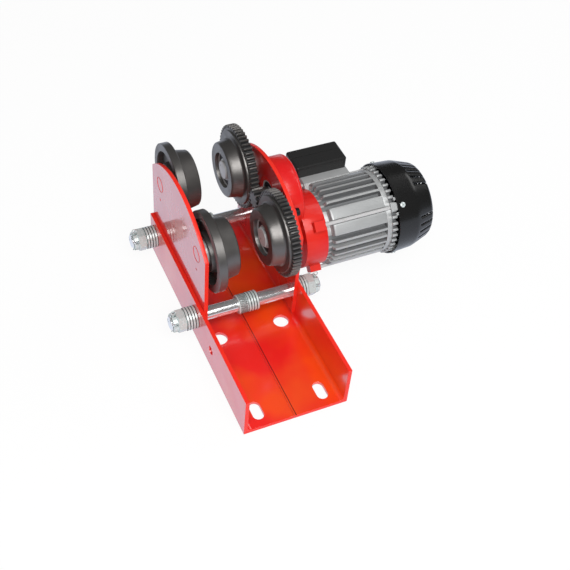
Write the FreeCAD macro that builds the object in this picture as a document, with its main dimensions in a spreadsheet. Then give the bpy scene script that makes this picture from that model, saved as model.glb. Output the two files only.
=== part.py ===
"""Electric beam trolley: two load angles, two wheel plates, four wheels and a geared motor.

X runs along the beam, with the load angles' free end at +X.  Y runs across it, with the motor
at +Y.  Z is up.  The origin lies under the middle of the wheel plates, on the angles' underside.
All lengths are in millimetres and all angles in degrees.
"""
import FreeCAD, Part
import os
import re
import Sketcher
from FreeCAD import Placement, Rotation, Vector

# Driving dimensions
SIZES = {
    # Load angles: two L sections that meet at a seam under the beam
    "channel_width": 138,
    "angle_thickness": 5,
    "angle_height": 62,
    "corner_radius": 6,
    "channel_reach": 243,
    "seam_offset": 2.6,
    "seam_gap": 0.4,
    "load_line": 43,
    "load_hole_x": 98,
    "load_hole_diameter": 20,
    "load_slot_x": 219,
    "load_slot_length": 27,
    "load_slot_width": 14,
    "wall_hole_x": 132,
    "wall_hole_z": 31,
    "wall_hole_diameter": 12,
    # Wheel plates
    "wheel_plate_length": 190,
    "wheel_plate_thickness": 5,
    "wheel_plate_corner_z": 147.5,
    "wheel_plate_arc_radius": 134,
    "lock_hole_drop": 26,
    "lock_hole_diameter": 3.5,
    # Tie rods with their nuts, washers and spacer rings
    "tie_rod_edge": 18,
    "tie_rod_z": 36,
    "tie_rod_diameter": 18,
    "tie_rod_hole_slack": 0.5,
    "tie_rod_overrun": 2.5,
    "washer_diameter": 30,
    "washer_thickness": 3.75,
    "washers_per_end": 4,
    "centre_washer_diameter": 26,
    "centre_washers": 4,
    "spacer_ring_width": 12.5,
    "nut_across_flats": 27,
    "nut_hex_height": 11,
    "nut_crown_height": 6,
    "nut_crown_diameter": 25,
    "nut_slot_width": 4.5,
    "split_pin_diameter": 3.2,
    "split_pin_length": 32,
    "split_pin_eye": 3.4,
    # Running gear
    "axle_z": 136.5,
    "wheel_inner_end": 20.5,
    "tread_diameter": 73.4,
    "tread_taper": 0.17,
    "tread_root_round": 3,
    "tread_width": 22,
    "flange_diameter": 103,
    "flange_width": 11,
    "geared_tread_width": 16.5,
    "shoulder_diameter": 99,
    "shoulder_width": 2.5,
    "wheel_edge_chamfer": 1.5,
    "wheel_recess_depth": 8,
    "wheel_rim_wall": 10,
    "wheel_hub_diameter": 50,
    "wheel_back_bore": 36,
    "wheel_bearing_inner": 25,
    "wheel_bearing_outer": 47,
    "wheel_bearing_width": 12,
    "wheel_bearing_recess": 5,
    "axle_collar_diameter": 31,
    "axle_spigot_diameter": 20,
    "axle_end_setback": 1,
    "circlip_thickness": 1.2,
    "circlip_width": 3,
    # Open gear train between the pinion and the two geared wheels
    "pressure_angle": 20,
    "gear_backlash": 0.24,
    "wheel_module": 2,
    "wheel_teeth": 54,
    "pinion_teeth": 12,
    "gear_rim_width": 11.5,
    "pinion_width": 15,
    # Closed reduction between the rotor and the pinion shaft
    "reduction_module": 1.5,
    "reduction_teeth": 57,
    "rotor_pinion_teeth": 16,
    "reduction_gear_width": 9,
    "reduction_gear_start": 9.5,
    "reduction_hub_diameter": 34,
    "reduction_web": 4,
    "key_width": 5,
    "motor_angle": 63,
    # Gearbox case and cover
    "case_depth": 20,
    "case_radius": 49,
    "case_wall": 3.5,
    "case_floor": 4,
    "case_edge_round": 3,
    "lobe_radius": 19.5,
    "case_spigot_diameter": 52,
    "case_spigot_length": 4.8,
    "case_boss_height": 4.5,
    "pinion_bearing_inner": 20,
    "pinion_bearing_outer": 42,
    "pinion_bearing_width": 12,
    "pinion_bearing_setback": 1,
    "tail_bearing_inner": 15,
    "tail_bearing_outer": 32,
    "tail_bearing_width": 9,
    "tail_boss_wall": 3,
    "ear_radius": 56,
    "ear_size": 8,
    "ear_thickness": 6,
    "ear_angle_front": 16,
    "ear_angle_rear": 166,
    "ear_angle_low": 228,
    "ear_screw_diameter": 6,
    "cover_thickness": 4,
    "motor_ring_radius": 50,
    "motor_ring_length": 26,
    "motor_ring_wall": 4,
    "cover_floor": 4,
    "lug_width": 13,
    "lug_radius": 58.5,
    "lug_length": 15,
    "lug_setback": 4,
    "cover_screw_diameter": 5,
    "cover_boss_along": 46,
    "cover_boss_across": 25,
    "cover_boss_radius": 6,
    # Motor
    "collar_radius": 48.3,
    "collar_length": 5.5,
    "frame_length": 83,
    "frame_bore_radius": 44,
    "fin_radius": 55.3,
    "fin_root_radius": 47.2,
    "fin_end_round": 5,
    "fin_gap_count": 5,
    "fin_band_angle": 34,
    "fin_root_gap": 6.2,
    "fin_tip_gap": 7.8,
    "through_bolt_diameter": 5,
    "through_bolt_radius": 54.4,
    "through_bolt_entry": 12,
    "bolt_groove_slack": 0.6,
    "bolt_head_flats": 8,
    "bolt_head_height": 3.5,
    "stator_start": 14,
    "stator_length": 55,
    "air_gap": 0.5,
    "rotor_diameter": 54,
    "winding_inner_radius": 31,
    "winding_outer_radius": 41,
    "winding_length": 11.5,
    "front_bearing_inner": 15,
    "front_bearing_outer": 35,
    "front_bearing_width": 11,
    "rear_bearing_inner": 12,
    "rear_bearing_outer": 32,
    "rear_bearing_width": 10,
    "rotor_shaft_diameter": 20,
    "fan_journal_diameter": 11,
    "shield_depth": 13,
    "shield_rim_radius": 55.5,
    "shield_rim_length": 6.5,
    "shield_web": 3.5,
    "shield_rib_count": 40,
    "shield_rib_radius": 58.6,
    "shield_rib_width": 4.6,
    "shield_rib_length": 7,
    "shield_lug_radius": 59,
    "arch_length": 12.5,
    "arch_top": 6.6,
    "arch_width": 24,
    "arch_leg": 4,
    "arch_gap": 0.3,
    "fan_radius": 50,
    "fan_hub_diameter": 24,
    "fan_length": 20,
    "fan_start": 4,
    "fan_disc": 2,
    "fan_blade_thickness": 2,
    "fan_blade_count": 10,
    "cover_start": 15,
    "fan_cover_radius": 61.9,
    "fan_cover_length": 57,
    "fan_cover_skirt": 29,
    "fan_cover_cone": 22.5,
    "fan_cover_wall": 1.6,
    "fan_cover_taper": 1.7,
    "fan_cover_cone_radius": 52.6,
    "fan_cover_back_radius": 47.5,
    "vent_group_count": 5,
    "vent_pitch": 11.25,
    "vent_width": 2.6,
    "vent_inner_radius": 22,
    "vent_depth": 24,
    "fan_cover_screw_diameter": 4,
    "fan_cover_screw_head": 7,
    # Terminal box on the motor frame
    "pad_length": 67,
    "pad_outer_x": 84,
    "pad_inner_x": 34.4,
    "pad_z": 44.6,
    "pad_thickness": 8,
    "box_length": 73,
    "box_width": 37,
    "box_height": 17,
    "box_wall": 2,
    "box_edge_round": 3,
    "box_overhang": 6,
    "tray_depth": 5,
    "gland_diameter": 12,
    "gland_edge": 11,
    "gland_setback": 9,
    "gland_length": 12,
    # Clearances, all radial
    "running_clearance": 0.05,
    "seat_clearance": 0.02,
    "screw_clearance": 0.15,
}

# Places and sizes that follow from the driving dimensions
DERIVED = {
    "half_plate": "wheel_plate_length / 2",
    "tie_rod_x": "wheel_plate_length / 2 - tie_rod_edge",
    "wall_outer": "channel_width / 2",
    "wall_inner": "channel_width / 2 - angle_thickness",
    "plate_inner": "wall_inner - wheel_plate_thickness",
    "plate_bottom": "angle_thickness + corner_radius",
    "wheel_x": "wheel_module * (wheel_teeth + pinion_teeth) / 2",
    "plain_wheel_end": "wheel_inner_end + tread_width + flange_width",
    "gear_rim_start": "wheel_inner_end + geared_tread_width + shoulder_width",
    "gear_rim_end": "gear_rim_start + gear_rim_width",
    "bearing_start": "wheel_inner_end + wheel_bearing_recess",
    "bearing_end": "bearing_start + wheel_bearing_width",
    "pinion_end": "gear_rim_end + (pinion_width - gear_rim_width) / 2",
    "pinion_start": "pinion_end - pinion_width",
    "washer_stack": "washers_per_end * washer_thickness",
    "nut_height": "nut_hex_height + nut_crown_height",
    "nut_start": "wall_outer + washer_stack",
    "rod_end": "nut_start + nut_height + tie_rod_overrun",
    "rod_bore": "tie_rod_diameter / 2 + screw_clearance",
    "rod_hole": "(tie_rod_diameter + tie_rod_hole_slack) / 2",
    "reduction_centres": "reduction_module * (reduction_teeth + rotor_pinion_teeth) / 2",
    "motor_x": "reduction_centres * cos(motor_angle * 1deg)",
    "motor_z": "axle_z - reduction_centres * sin(motor_angle * 1deg)",
    "case_end": "wall_inner + case_depth",
    "pinion_bearing_start": "plate_inner + pinion_bearing_setback",
    "pinion_bearing_end": "pinion_bearing_start + pinion_bearing_width",
    "gear_start": "wall_inner + reduction_gear_start",
    "gear_end": "gear_start + reduction_gear_width",
    "cover_face": "case_end + cover_thickness",
    "frame_start": "cover_face + motor_ring_length",
    "frame_end": "frame_start + frame_length",
    "front_bearing_start": "cover_face + 2",
    "front_bearing_end": "front_bearing_start + front_bearing_width",
    "rear_bearing_start": "frame_end + 1",
    "rear_bearing_end": "rear_bearing_start + rear_bearing_width",
    "stator_from": "frame_start + stator_start",
    "stator_to": "stator_from + stator_length",
    "shield_end": "frame_end + shield_depth",
    "bolt_head_start": "shield_end + 2",
    "fan_from": "shield_end + fan_start",
    "fan_to": "fan_from + fan_length",
    "fan_cover_front": "frame_end + cover_start",
    "fan_cover_back": "fan_cover_front + fan_cover_length",
    "cover_screw_y": "shield_end + arch_length - arch_top / 2",
    "cover_taper_at_arch": "fan_cover_taper * (shield_depth + arch_length - cover_start)"
                           " / fan_cover_skirt",
    "arch_corner": "fan_cover_radius - fan_cover_wall - cover_taper_at_arch - arch_gap",
    "arch_radius": "sqrt(arch_corner * arch_corner - arch_width * arch_width / 4)",
    "fin_pitch": "(90 - fin_band_angle) / fin_gap_count",
    "box_outer_x": "pad_outer_x",
    "box_start": "frame_start - box_overhang",
    "gland_x": "-pad_outer_x + gland_edge",
    "gland_y": "frame_start + pad_length - gland_setback",
}

document = FreeCAD.newDocument("ElectricBeamTrolley")
sheet = document.addObject("Spreadsheet::Sheet", "Sizes")
for row, (name, size) in enumerate(SIZES.items(), start=1):
    sheet.set(f"A{row}", name)
    sheet.set(f"B{row}", str(size))
    sheet.setAlias(f"B{row}", name)
document.recompute()

nodes = []


# Formulas
def formula(text):
    """Write a formula with every derived name worked out and every size read from the sheet."""
    def read(match):
        word = match.group(0)
        if word in DERIVED:
            return "(" + formula(DERIVED[word]) + ")"
        return "Sizes." + word if word in SIZES else word
    return re.sub(r"\b[a-z]\w*", read, str(text))


def value(text):
    """Work a formula out as a plain number."""
    result = sheet.evalExpression(formula(text))
    return float(getattr(result, "Value", result))


def bind(item, prop, text):
    """Bind one property of an object to a formula."""
    item.setExpression(prop, formula(text))


def put(item, x=0, y=0, z=0, axis=None, angle=0):
    """Give an object its Placement: a point, and a turn about one axis."""
    turn = Rotation(Vector(*axis), value(angle)) if axis else Rotation()
    item.Placement = Placement(Vector(value(x), value(y), value(z)), turn)
    for name, text in (("x", x), ("y", y), ("z", z)):
        bind(item, "Placement.Base." + name, text)
    if axis:
        bind(item, "Placement.Rotation.Angle", angle)


# Sketches
NORMALS = {"XY": 1, "XZ": -1, "YZ": 1}


def origin_part(body, role):
    """Find one plane or axis of the body's own origin."""
    return next(item for item in body.Origin.OriginFeatures if item.Role == role)


def hold(sketch, kind, *where):
    """Add a dimension whose size follows a formula."""
    *place, text = where
    index = sketch.addConstraint(Sketcher.Constraint(kind, *place, value(text)))
    sketch.setExpression(f"Constraints[{index}]", formula(text))


def draw_circle(sketch, x, y, radius):
    centre = Vector(value(x), value(y), 0)
    index = sketch.addGeometry(Part.Circle(centre, Vector(0, 0, 1), value(radius)), False)
    hold(sketch, "DistanceX", index, 3, x)
    hold(sketch, "DistanceY", index, 3, y)
    hold(sketch, "Radius", index, radius)


def draw_slot(sketch, x, y, length, width):
    """A slot along the sketch's X axis: two half circles and the two lines that join them."""
    reach, radius = value(f"(({length}) - ({width})) / 2"), value(f"({width}) / 2")
    cx, cy, up = value(x), value(y), Vector(0, 0, 1)
    right = Part.ArcOfCircle(Part.Circle(Vector(cx + reach, cy, 0), up, radius), -1.5708, 1.5708)
    left = Part.ArcOfCircle(Part.Circle(Vector(cx - reach, cy, 0), up, radius), 1.5708, 4.7124)
    top = Part.LineSegment(Vector(cx + reach, cy + radius, 0), Vector(cx - reach, cy + radius, 0))
    base = Part.LineSegment(Vector(cx - reach, cy - radius, 0), Vector(cx + reach, cy - radius, 0))
    first = sketch.addGeometry([right, top, left, base], False)[0]
    for a, b in ((0, 1), (1, 2), (2, 3), (3, 0)):
        sketch.addConstraint(Sketcher.Constraint("Tangent", first + a, 2, first + b, 1))
    sketch.addConstraint(Sketcher.Constraint("Equal", first, first + 2))
    for arc, side in ((first, "+"), (first + 2, "-")):
        hold(sketch, "DistanceX", arc, 3, f"({x}) {side} (({length}) - ({width})) / 2")
        hold(sketch, "DistanceY", arc, 3, y)
    hold(sketch, "Radius", first, f"({width}) / 2")


def arc_top(start, end, radius):
    """The middle of an arc.  A positive radius puts its centre to the left of the way there."""
    chord = end - start
    side = Vector(-chord.y, chord.x, 0).normalize() * (1 if radius > 0 else -1)
    rise = max(radius * radius - chord.Length ** 2 / 4, 0) ** 0.5
    return (start + end) * 0.5 + side * (rise - abs(radius))


def draw_loop(sketch, corners):
    """A closed outline.  A corner is (x, y), or (x, y, radius) where an arc arrives at it."""
    points = [Vector(value(corner[0]), value(corner[1]), 0) for corner in corners]
    ends = []
    for index, corner in enumerate(corners):
        start, end = points[index - 1], points[index]
        if len(corner) == 3:
            radius = value(corner[2])
            top = arc_top(start, end, radius)
            forward = radius > 0
            arc = Part.Arc(start, top, end) if forward else Part.Arc(end, top, start)
            edge = sketch.addGeometry(arc, False)
            hold(sketch, "Radius", edge, f"abs({corner[2]})")
        else:
            edge = sketch.addGeometry(Part.LineSegment(start, end), False)
            forward = True
        ends.append((edge, 1, 2) if forward else (edge, 2, 1))
    for index, corner in enumerate(corners):
        edge, begin, end = ends[index]
        following = ends[(index + 1) % len(corners)]
        sketch.addConstraint(Sketcher.Constraint("Coincident", edge, end, following[0], following[1]))
        hold(sketch, "DistanceX", edge, end, corner[0])
        hold(sketch, "DistanceY", edge, end, corner[1])


def draw(body, name, plane, loops, height=0):
    """Draw closed loops on one of the body's own planes, moved along its normal axis."""
    sketch = body.newObject("Sketcher::SketchObject", name)
    sketch.AttachmentSupport = (origin_part(body, plane + "_Plane"), [""])
    sketch.MapMode = "FlatFace"
    sign = "" if NORMALS[plane] > 0 else "-"
    sketch.AttachmentOffset = Placement(Vector(0, 0, value(f"{sign}({height})")), Rotation())
    bind(sketch, "AttachmentOffset.Base.z", f"{sign}({height})")
    for loop in loops:
        if loop[0] == "circle":
            draw_circle(sketch, *loop[1:])
        elif loop[0] == "slot":
            draw_slot(sketch, *loop[1:])
        else:
            draw_loop(sketch, loop)
    return sketch


# Features
def new_body(label, **place):
    body = document.addObject("PartDesign::Body", label)
    body.Label = label
    put(body, **place)
    return body


def pad(body, plane, loops, start, length):
    """Add material from start along the plane's positive axis, over length."""
    sketch = draw(body, "outline", plane, loops, start)
    feature = body.newObject("PartDesign::Pad", "pad")
    feature.Profile = sketch
    feature.Reversed = NORMALS[plane] < 0
    bind(feature, "Length", length)
    document.recompute()
    return feature


def pocket(body, plane, loops, start, length):
    """Cut material away from start along the plane's positive axis, over length."""
    before = body.Shape.Volume
    sketch = draw(body, "cutout", plane, loops, start)
    feature = body.newObject("PartDesign::Pocket", "pocket")
    feature.Profile = sketch
    feature.Reversed = NORMALS[plane] > 0
    bind(feature, "Length", length)
    document.recompute()
    if not body.Shape.Volume < before:
        raise ValueError(f"a cut in {body.Label} removes nothing")
    return feature


def revolve(body, loops, axis="V_Axis"):
    """Turn a profile, drawn as (radius, y), about the body's Y axis."""
    sketch = draw(body, "profile", "XY", loops)
    feature = body.newObject("PartDesign::Revolution", "revolution")
    feature.Profile = sketch
    feature.ReferenceAxis = (sketch, [axis])
    feature.Angle = 360
    document.recompute()
    return feature


def repeat(body, features, count):
    """Repeat features evenly round the body's Y axis."""
    pattern = body.newObject("PartDesign::PolarPattern", "pattern")
    pattern.Originals = features
    pattern.Axis = (origin_part(body, "Y_Axis"), [""])
    pattern.Angle = 360
    bind(pattern, "Occurrences", count)
    body.Tip = pattern
    document.recompute()
    return pattern


def fillet(body, radius, test):
    base = body.Tip
    feature = body.newObject("PartDesign::Fillet", "fillet")
    feature.Base = (base, [f"Edge{n}" for n, edge in enumerate(base.Shape.Edges, start=1)
                           if test(edge)])
    bind(feature, "Radius", radius)
    document.recompute()
    return feature


def node(item, label=None):
    """Keep an object as one of the trolley's pieces."""
    if label:
        item.Label = label
    nodes.append(item)
    return item


def copies(label, body, places):
    """Make one piece of several equal solids: linked copies of a body, joined in a compound."""
    links = []
    for place in places:
        link = document.addObject("App::Link", label + "_copy")
        link.LinkedObject = body
        link.LinkTransform = True
        put(link, **place)
        links.append(link)
    compound = document.addObject("Part::Compound", label)
    compound.Links = links
    document.recompute()
    return node(compound, label)


# Points round an axis, as formulas
def polar(radius, angle):
    """The x and y of a point at a radius and an angle."""
    return f"({radius}) * cos(({angle}) * 1deg)", f"({radius}) * sin(({angle}) * 1deg)"


def aside(radius, angle, offset):
    """A point at a radius along an angle, moved sideways by an offset."""
    x = f"({radius}) * cos(({angle}) * 1deg) - ({offset}) * sin(({angle}) * 1deg)"
    y = f"({radius}) * sin(({angle}) * 1deg) + ({offset}) * cos(({angle}) * 1deg)"
    return x, y


def bar(inner, outer, angle, width):
    """A rectangle that runs outwards along an angle."""
    half = f"({width}) / 2"
    return [aside(inner, angle, f"-{half}"), aside(outer, angle, f"-{half}"),
            aside(outer, angle, half), aside(inner, angle, half)]


def half_gap(teeth, module, radius):
    """Half the angle of an involute tooth gap at a radius, in degrees."""
    pitch_radius = f"(({module}) * ({teeth}) / 2)"
    angle = f"acos(cos(pressure_angle * 1deg) * {pitch_radius} / ({radius}))"
    involute = f"(tan({angle}) * 180 / pi - {angle} / 1deg)"
    at_pitch = "(tan(pressure_angle * 1deg) * 180 / pi - pressure_angle)"
    backlash = f"gear_backlash / 4 / {pitch_radius} * 180 / pi"
    return f"(90 / ({teeth}) + {backlash} + {involute} - {at_pitch})"


def tooth_gap(teeth, module, centre):
    """The outline of one tooth gap: involute flanks, drawn straight from point to point."""
    pitch_radius = f"({module}) * ({teeth}) / 2"
    root, tip = f"{pitch_radius} - 1.25 * ({module})", f"{pitch_radius} + ({module})"
    base = f"{pitch_radius} * cos(pressure_angle * 1deg) * 1.0005"
    flank = [(root, base)] if value(root) < value(base) else [(root, root)]
    if value(root) < value(base):
        flank.append((base, base))
    flank += [(pitch_radius, pitch_radius), (tip, tip), (f"{tip} + 1", tip)]
    rising = [polar(r, f"({centre}) + {half_gap(teeth, module, at)}") for r, at in flank]
    falling = [polar(r, f"({centre}) - {half_gap(teeth, module, at)}") for r, at in flank]
    return falling + rising[::-1]


def cut_teeth(body, teeth, module, centre, start, length):
    """Cut every tooth gap of a gear whose blank is already there."""
    gap = pocket(body, "XZ", [tooth_gap(teeth, module, centre)], start, length)
    return repeat(body, [gap], teeth)


# Load angles
def load_angle(label, side):
    """An L section, round in its inner corner, with a load hole and a slot in the floor."""
    body = new_body(label)
    outer, inner = f"{side} * wall_outer", f"{side} * wall_inner"
    seam = f"-seam_offset + {side} * seam_gap / 2"
    bend = f"{side} * (wall_inner - corner_radius)"
    section = [(seam, "0"), (outer, "0"), (outer, "angle_height"), (inner, "angle_height"),
               (inner, "plate_bottom"), (bend, "angle_thickness", f"{-side} * corner_radius"),
               (seam, "angle_thickness")]
    pad(body, "YZ", [section], "-half_plate", "half_plate + channel_reach")
    line = f"{side} * load_line"
    pocket(body, "XY", [("circle", "load_hole_x", line, "load_hole_diameter / 2"),
                        ("slot", "load_slot_x", line, "load_slot_length", "load_slot_width")],
           "-1", "angle_thickness + 2")
    holes = [("circle", sign + "tie_rod_x", "tie_rod_z", "rod_hole") for sign in ("", "-")]
    holes.append(("circle", "wall_hole_x", "wall_hole_z", "wall_hole_diameter / 2"))
    start = "wall_inner - 1" if side > 0 else "-wall_outer - 1"
    pocket(body, "XZ", [holes[0], holes[1]] if side > 0 else holes, start, "angle_thickness + 2")
    return node(body)


# Wheel plates
def wheel_plate(label, side):
    """A plate with an arched top that carries two axles and stands inside a load angle."""
    body = new_body(label)
    outline = [("half_plate", "plate_bottom"),
               ("half_plate", "wheel_plate_corner_z"),
               ("-half_plate", "wheel_plate_corner_z", "wheel_plate_arc_radius"),
               ("-half_plate", "plate_bottom")]
    start = "plate_inner" if side > 0 else "-wall_inner"
    pad(body, "XZ", [outline], start, "wheel_plate_thickness")
    holes = []
    for sign in ("", "-"):
        holes.append(("circle", sign + "tie_rod_x", "tie_rod_z", "rod_hole"))
        holes.append(("circle", sign + "wheel_x", "axle_z",
                      "axle_spigot_diameter / 2 + seat_clearance"))
        holes.append(("circle", sign + "wheel_x", "axle_z - lock_hole_drop",
                      "lock_hole_diameter / 2"))
    if side > 0:
        holes.append(("circle", "0", "axle_z", "case_spigot_diameter / 2 + screw_clearance"))
        for angle in ("ear_angle_front", "ear_angle_rear", "ear_angle_low"):
            x, z = polar("ear_radius", angle)
            holes.append(("circle", x, f"axle_z + {z}", "ear_screw_diameter / 2 + screw_clearance"))
    pocket(body, "XZ", holes, f"{start} - 1", "wheel_plate_thickness + 2")
    return node(body)


load_angle("left_load_angle", -1)
load_angle("right_load_angle", 1)
wheel_plate("left_wheel_plate", -1)
wheel_plate("right_wheel_plate", 1)


# Tie rods, nuts, washers and pins
def tie_rod(label, sign):
    body = new_body(label, x=f"{sign}tie_rod_x", z="tie_rod_z")
    edge = "tie_rod_diameter / 2"
    revolve(body, [[("0", "-rod_end"), (f"{edge} - 1", "-rod_end"), (edge, "-rod_end + 1"),
                    (edge, "rod_end - 1"), (f"{edge} - 1", "rod_end"), ("0", "rod_end")]])
    pin_y = "nut_start + nut_hex_height + nut_crown_height / 2"
    holes = [("circle", "0", f"{s}({pin_y})", "split_pin_diameter / 2 + screw_clearance")
             for s in ("", "-")]
    pocket(body, "XY", holes, "-tie_rod_diameter", "2 * tie_rod_diameter")
    return node(body)


def rod_ends():
    """The four rod ends: each rod's sign, and the turn that faces it."""
    return [(rod, turn) for rod in ("", "-") for turn in (0, 180)]


def ring(body, outer, inner, start, length, chamfer="0.6"):
    """A plain ring round the Y axis with its outer edges broken."""
    end = f"{start} + {length}"
    revolve(body, [[(inner, start), (f"{outer} - {chamfer}", start), (outer, f"{start} + {chamfer}"),
                    (outer, f"{end} - {chamfer}"), (f"{outer} - {chamfer}", end), (inner, end)]])


def castle_nut():
    """A hexagon with a round crown, slotted six times for the split pin."""
    body = new_body("castle_nut")
    corner = "nut_across_flats / 2 / cos(30 * 1deg)"
    pad(body, "XZ", [[polar(corner, 60 * k) for k in range(6)]], "nut_start", "nut_hex_height")
    pad(body, "XZ", [("circle", "0", "0", "nut_crown_diameter / 2")],
        "nut_start + nut_hex_height", "nut_crown_height")
    pocket(body, "XZ", [("circle", "0", "0", "rod_bore")], "nut_start - 1", "nut_height + 2")
    slot = pocket(body, "XZ", [bar("rod_bore - 2", "nut_crown_diameter", 90, "nut_slot_width")],
                  "nut_start + nut_hex_height", "nut_crown_height + 1")
    repeat(body, [slot], 6)
    return body


def split_pin():
    """A round pin with an eye at its head, through the rod and the nut's crown."""
    body = new_body("split_pin")
    y = "nut_start + nut_hex_height + nut_crown_height / 2"
    pad(body, "XY", [("circle", "0", y, "split_pin_diameter / 2")],
        "-split_pin_length / 2", "split_pin_length")
    eye = "split_pin_length / 2 + split_pin_eye / 2"
    pad(body, "XZ", [("circle", "0", eye, "split_pin_eye")],
        f"{y} - split_pin_diameter * 0.4", "split_pin_diameter * 0.8")
    pocket(body, "XZ", [("circle", "0", eye, "split_pin_eye / 2")],
           f"{y} - split_pin_diameter", "2 * split_pin_diameter")
    return body


tie_rod("front_tie_rod", "")
tie_rod("rear_tie_rod", "-")
ends = [{"x": f"{rod}tie_rod_x", "z": "tie_rod_z", "axis": (0, 0, 1), "angle": turn}
        for rod, turn in rod_ends()]
copies("tie_rod_castle_nuts", castle_nut(), ends)
copies("tie_rod_split_pins", split_pin(), ends)

outer_washer = new_body("outer_washer")
ring(outer_washer, "washer_diameter / 2", "rod_bore", "wall_outer", "washer_thickness")
copies("outer_spacer_washers", outer_washer, [
    {"x": f"{rod}tie_rod_x", "z": "tie_rod_z", "axis": (0, 0, 1), "angle": turn,
     "y": f"{'-' if turn else ''}{k} * washer_thickness"}
    for rod, turn in rod_ends() for k in range(SIZES["washers_per_end"])])

spacer_ring = new_body("spacer_ring")
ring(spacer_ring, "centre_washer_diameter / 2", "rod_bore", "-spacer_ring_width", "spacer_ring_width",
     "1.2")
copies("centre_spacer_rings", spacer_ring,
       [{"x": f"{rod}tie_rod_x", "z": "tie_rod_z"} for rod in ("", "-")])

centre_washer = new_body("centre_washer")
ring(centre_washer, "centre_washer_diameter / 2", "rod_bore", "0", "washer_thickness")
copies("centre_spacer_washers", centre_washer, [
    {"x": f"{rod}tie_rod_x", "y": f"{k} * washer_thickness", "z": "tie_rod_z"}
    for rod in ("", "-") for k in range(SIZES["centre_washers"])])


# Wheels, axles and wheel bearings, drawn for the motor side and turned round for the other side
CORNERS = {
    "left_front": {"x": "wheel_x", "z": "axle_z", "axis": (0, 0, 1), "angle": 180},
    "left_rear": {"x": "-wheel_x", "z": "axle_z", "axis": (0, 0, 1), "angle": 180},
    "right_front": {"x": "wheel_x", "z": "axle_z"},
    "right_rear": {"x": "-wheel_x", "z": "axle_z"},
}


def wheel_profile(rim, rim_start, rim_end, shoulder=None):
    """Half section of a wheel: tapered tread, rim, recessed back, hub and stepped bore."""
    tread, break_edge = "tread_diameter / 2", "wheel_edge_chamfer"
    seat = "wheel_bearing_outer / 2 + seat_clearance"
    foot = f"{rim_start} - shoulder_width" if shoulder else rim_start
    root = f"{tread} + tread_taper * ({foot} - wheel_inner_end)"
    reach = "tread_root_round * tan((90deg - atan(tread_taper)) / 2)"
    points = [(seat, "wheel_inner_end"), (f"{tread} - {break_edge}", "wheel_inner_end"),
              (tread, f"wheel_inner_end + {break_edge}"),
              (f"{root} - {reach} * sin(atan(tread_taper))", f"{foot} - {reach} * cos(atan(tread_taper))"),
              (f"{root} + {reach}", foot, "-tread_root_round")]
    if shoulder:
        points += [(f"{shoulder} - 0.6", foot), (shoulder, f"{foot} + 0.6"), (shoulder, rim_start)]
    inside = f"{rim} - wheel_rim_wall"
    points += [(f"{rim} - {break_edge} / 2", rim_start), (rim, f"{rim_start} + {break_edge} / 2"),
               (rim, f"{rim_end} - {break_edge} / 2"), (f"{rim} - {break_edge} / 2", rim_end),
               (inside, rim_end), (f"{inside} - 2", f"{rim_end} - wheel_recess_depth"),
               ("wheel_hub_diameter / 2 + 2", f"{rim_end} - wheel_recess_depth"),
               ("wheel_hub_diameter / 2", rim_end), ("wheel_back_bore / 2", rim_end),
               ("wheel_back_bore / 2", "bearing_end"), (seat, "bearing_end")]
    return points


def plain_wheel(label, corner):
    body = new_body(label, **CORNERS[corner])
    revolve(body, [wheel_profile("flange_diameter / 2", "wheel_inner_end + tread_width",
                                 "plain_wheel_end")])
    return node(body)


def geared_wheel(label, corner):
    body = new_body(label, **CORNERS[corner])
    rim = "wheel_module * (wheel_teeth + 2) / 2"
    revolve(body, [wheel_profile(rim, "gear_rim_start", "gear_rim_end", "shoulder_diameter / 2")])
    cut_teeth(body, "wheel_teeth", "wheel_module", "0", "gear_rim_start - 1", "gear_rim_width + 2")
    return node(body)


def wheel_axle(label, corner):
    """A stepped pin: spigot in the plate, collar, bearing journal and a circlip groove."""
    body = new_body(label, **CORNERS[corner])
    end = "wheel_inner_end + axle_end_setback"
    journal = "wheel_bearing_inner / 2 - running_clearance"
    groove = "bearing_start - circlip_thickness"
    neck = f"{journal} - circlip_width / 2"
    spigot, collar = "axle_spigot_diameter / 2", "axle_collar_diameter / 2"
    revolve(body, [[("0", end), (f"{journal} - 0.8", end), (journal, f"{end} + 0.8"),
                    (journal, groove), (neck, groove), (neck, "bearing_start"),
                    (journal, "bearing_start"), (journal, "bearing_end + 0.3"),
                    (collar, "bearing_end + 0.3"), (collar, "plate_inner"),
                    (spigot, "plate_inner"), (spigot, "wall_inner"), ("0", "wall_inner")]])
    return node(body)


def bearing_rings(body, inner, outer, start, width):
    """A ball bearing as one ring, its shields set back between the two races."""
    race, back = f"(({outer}) - ({inner})) * 0.2", "0.8"
    end = f"{start} + {width}"
    revolve(body, [[(inner, start), (f"{inner} + {race}", start),
                    (f"{inner} + {race}", f"{start} + {back}"),
                    (f"{outer} - {race}", f"{start} + {back}"), (f"{outer} - {race}", start),
                    (outer, start), (outer, end), (f"{outer} - {race}", end),
                    (f"{outer} - {race}", f"{end} - {back}"),
                    (f"{inner} + {race}", f"{end} - {back}"), (f"{inner} + {race}", end),
                    (inner, end)]])


def bearing(label, inner, outer, start, width, **place):
    body = new_body(label, **place)
    bearing_rings(body, f"{inner} / 2", f"{outer} / 2", start, width)
    return node(body)


for corner in CORNERS:
    side = corner.split("_")[0]
    wheel = corner + ("_wheel" if side == "left" else "_geared_wheel")
    make = plain_wheel if side == "left" else geared_wheel
    make(wheel, corner)
    bearing(wheel + "_bearing", "wheel_bearing_inner", "wheel_bearing_outer",
            "bearing_start", "wheel_bearing_width", **CORNERS[corner])
    wheel_axle(corner + "_axle", corner)

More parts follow.
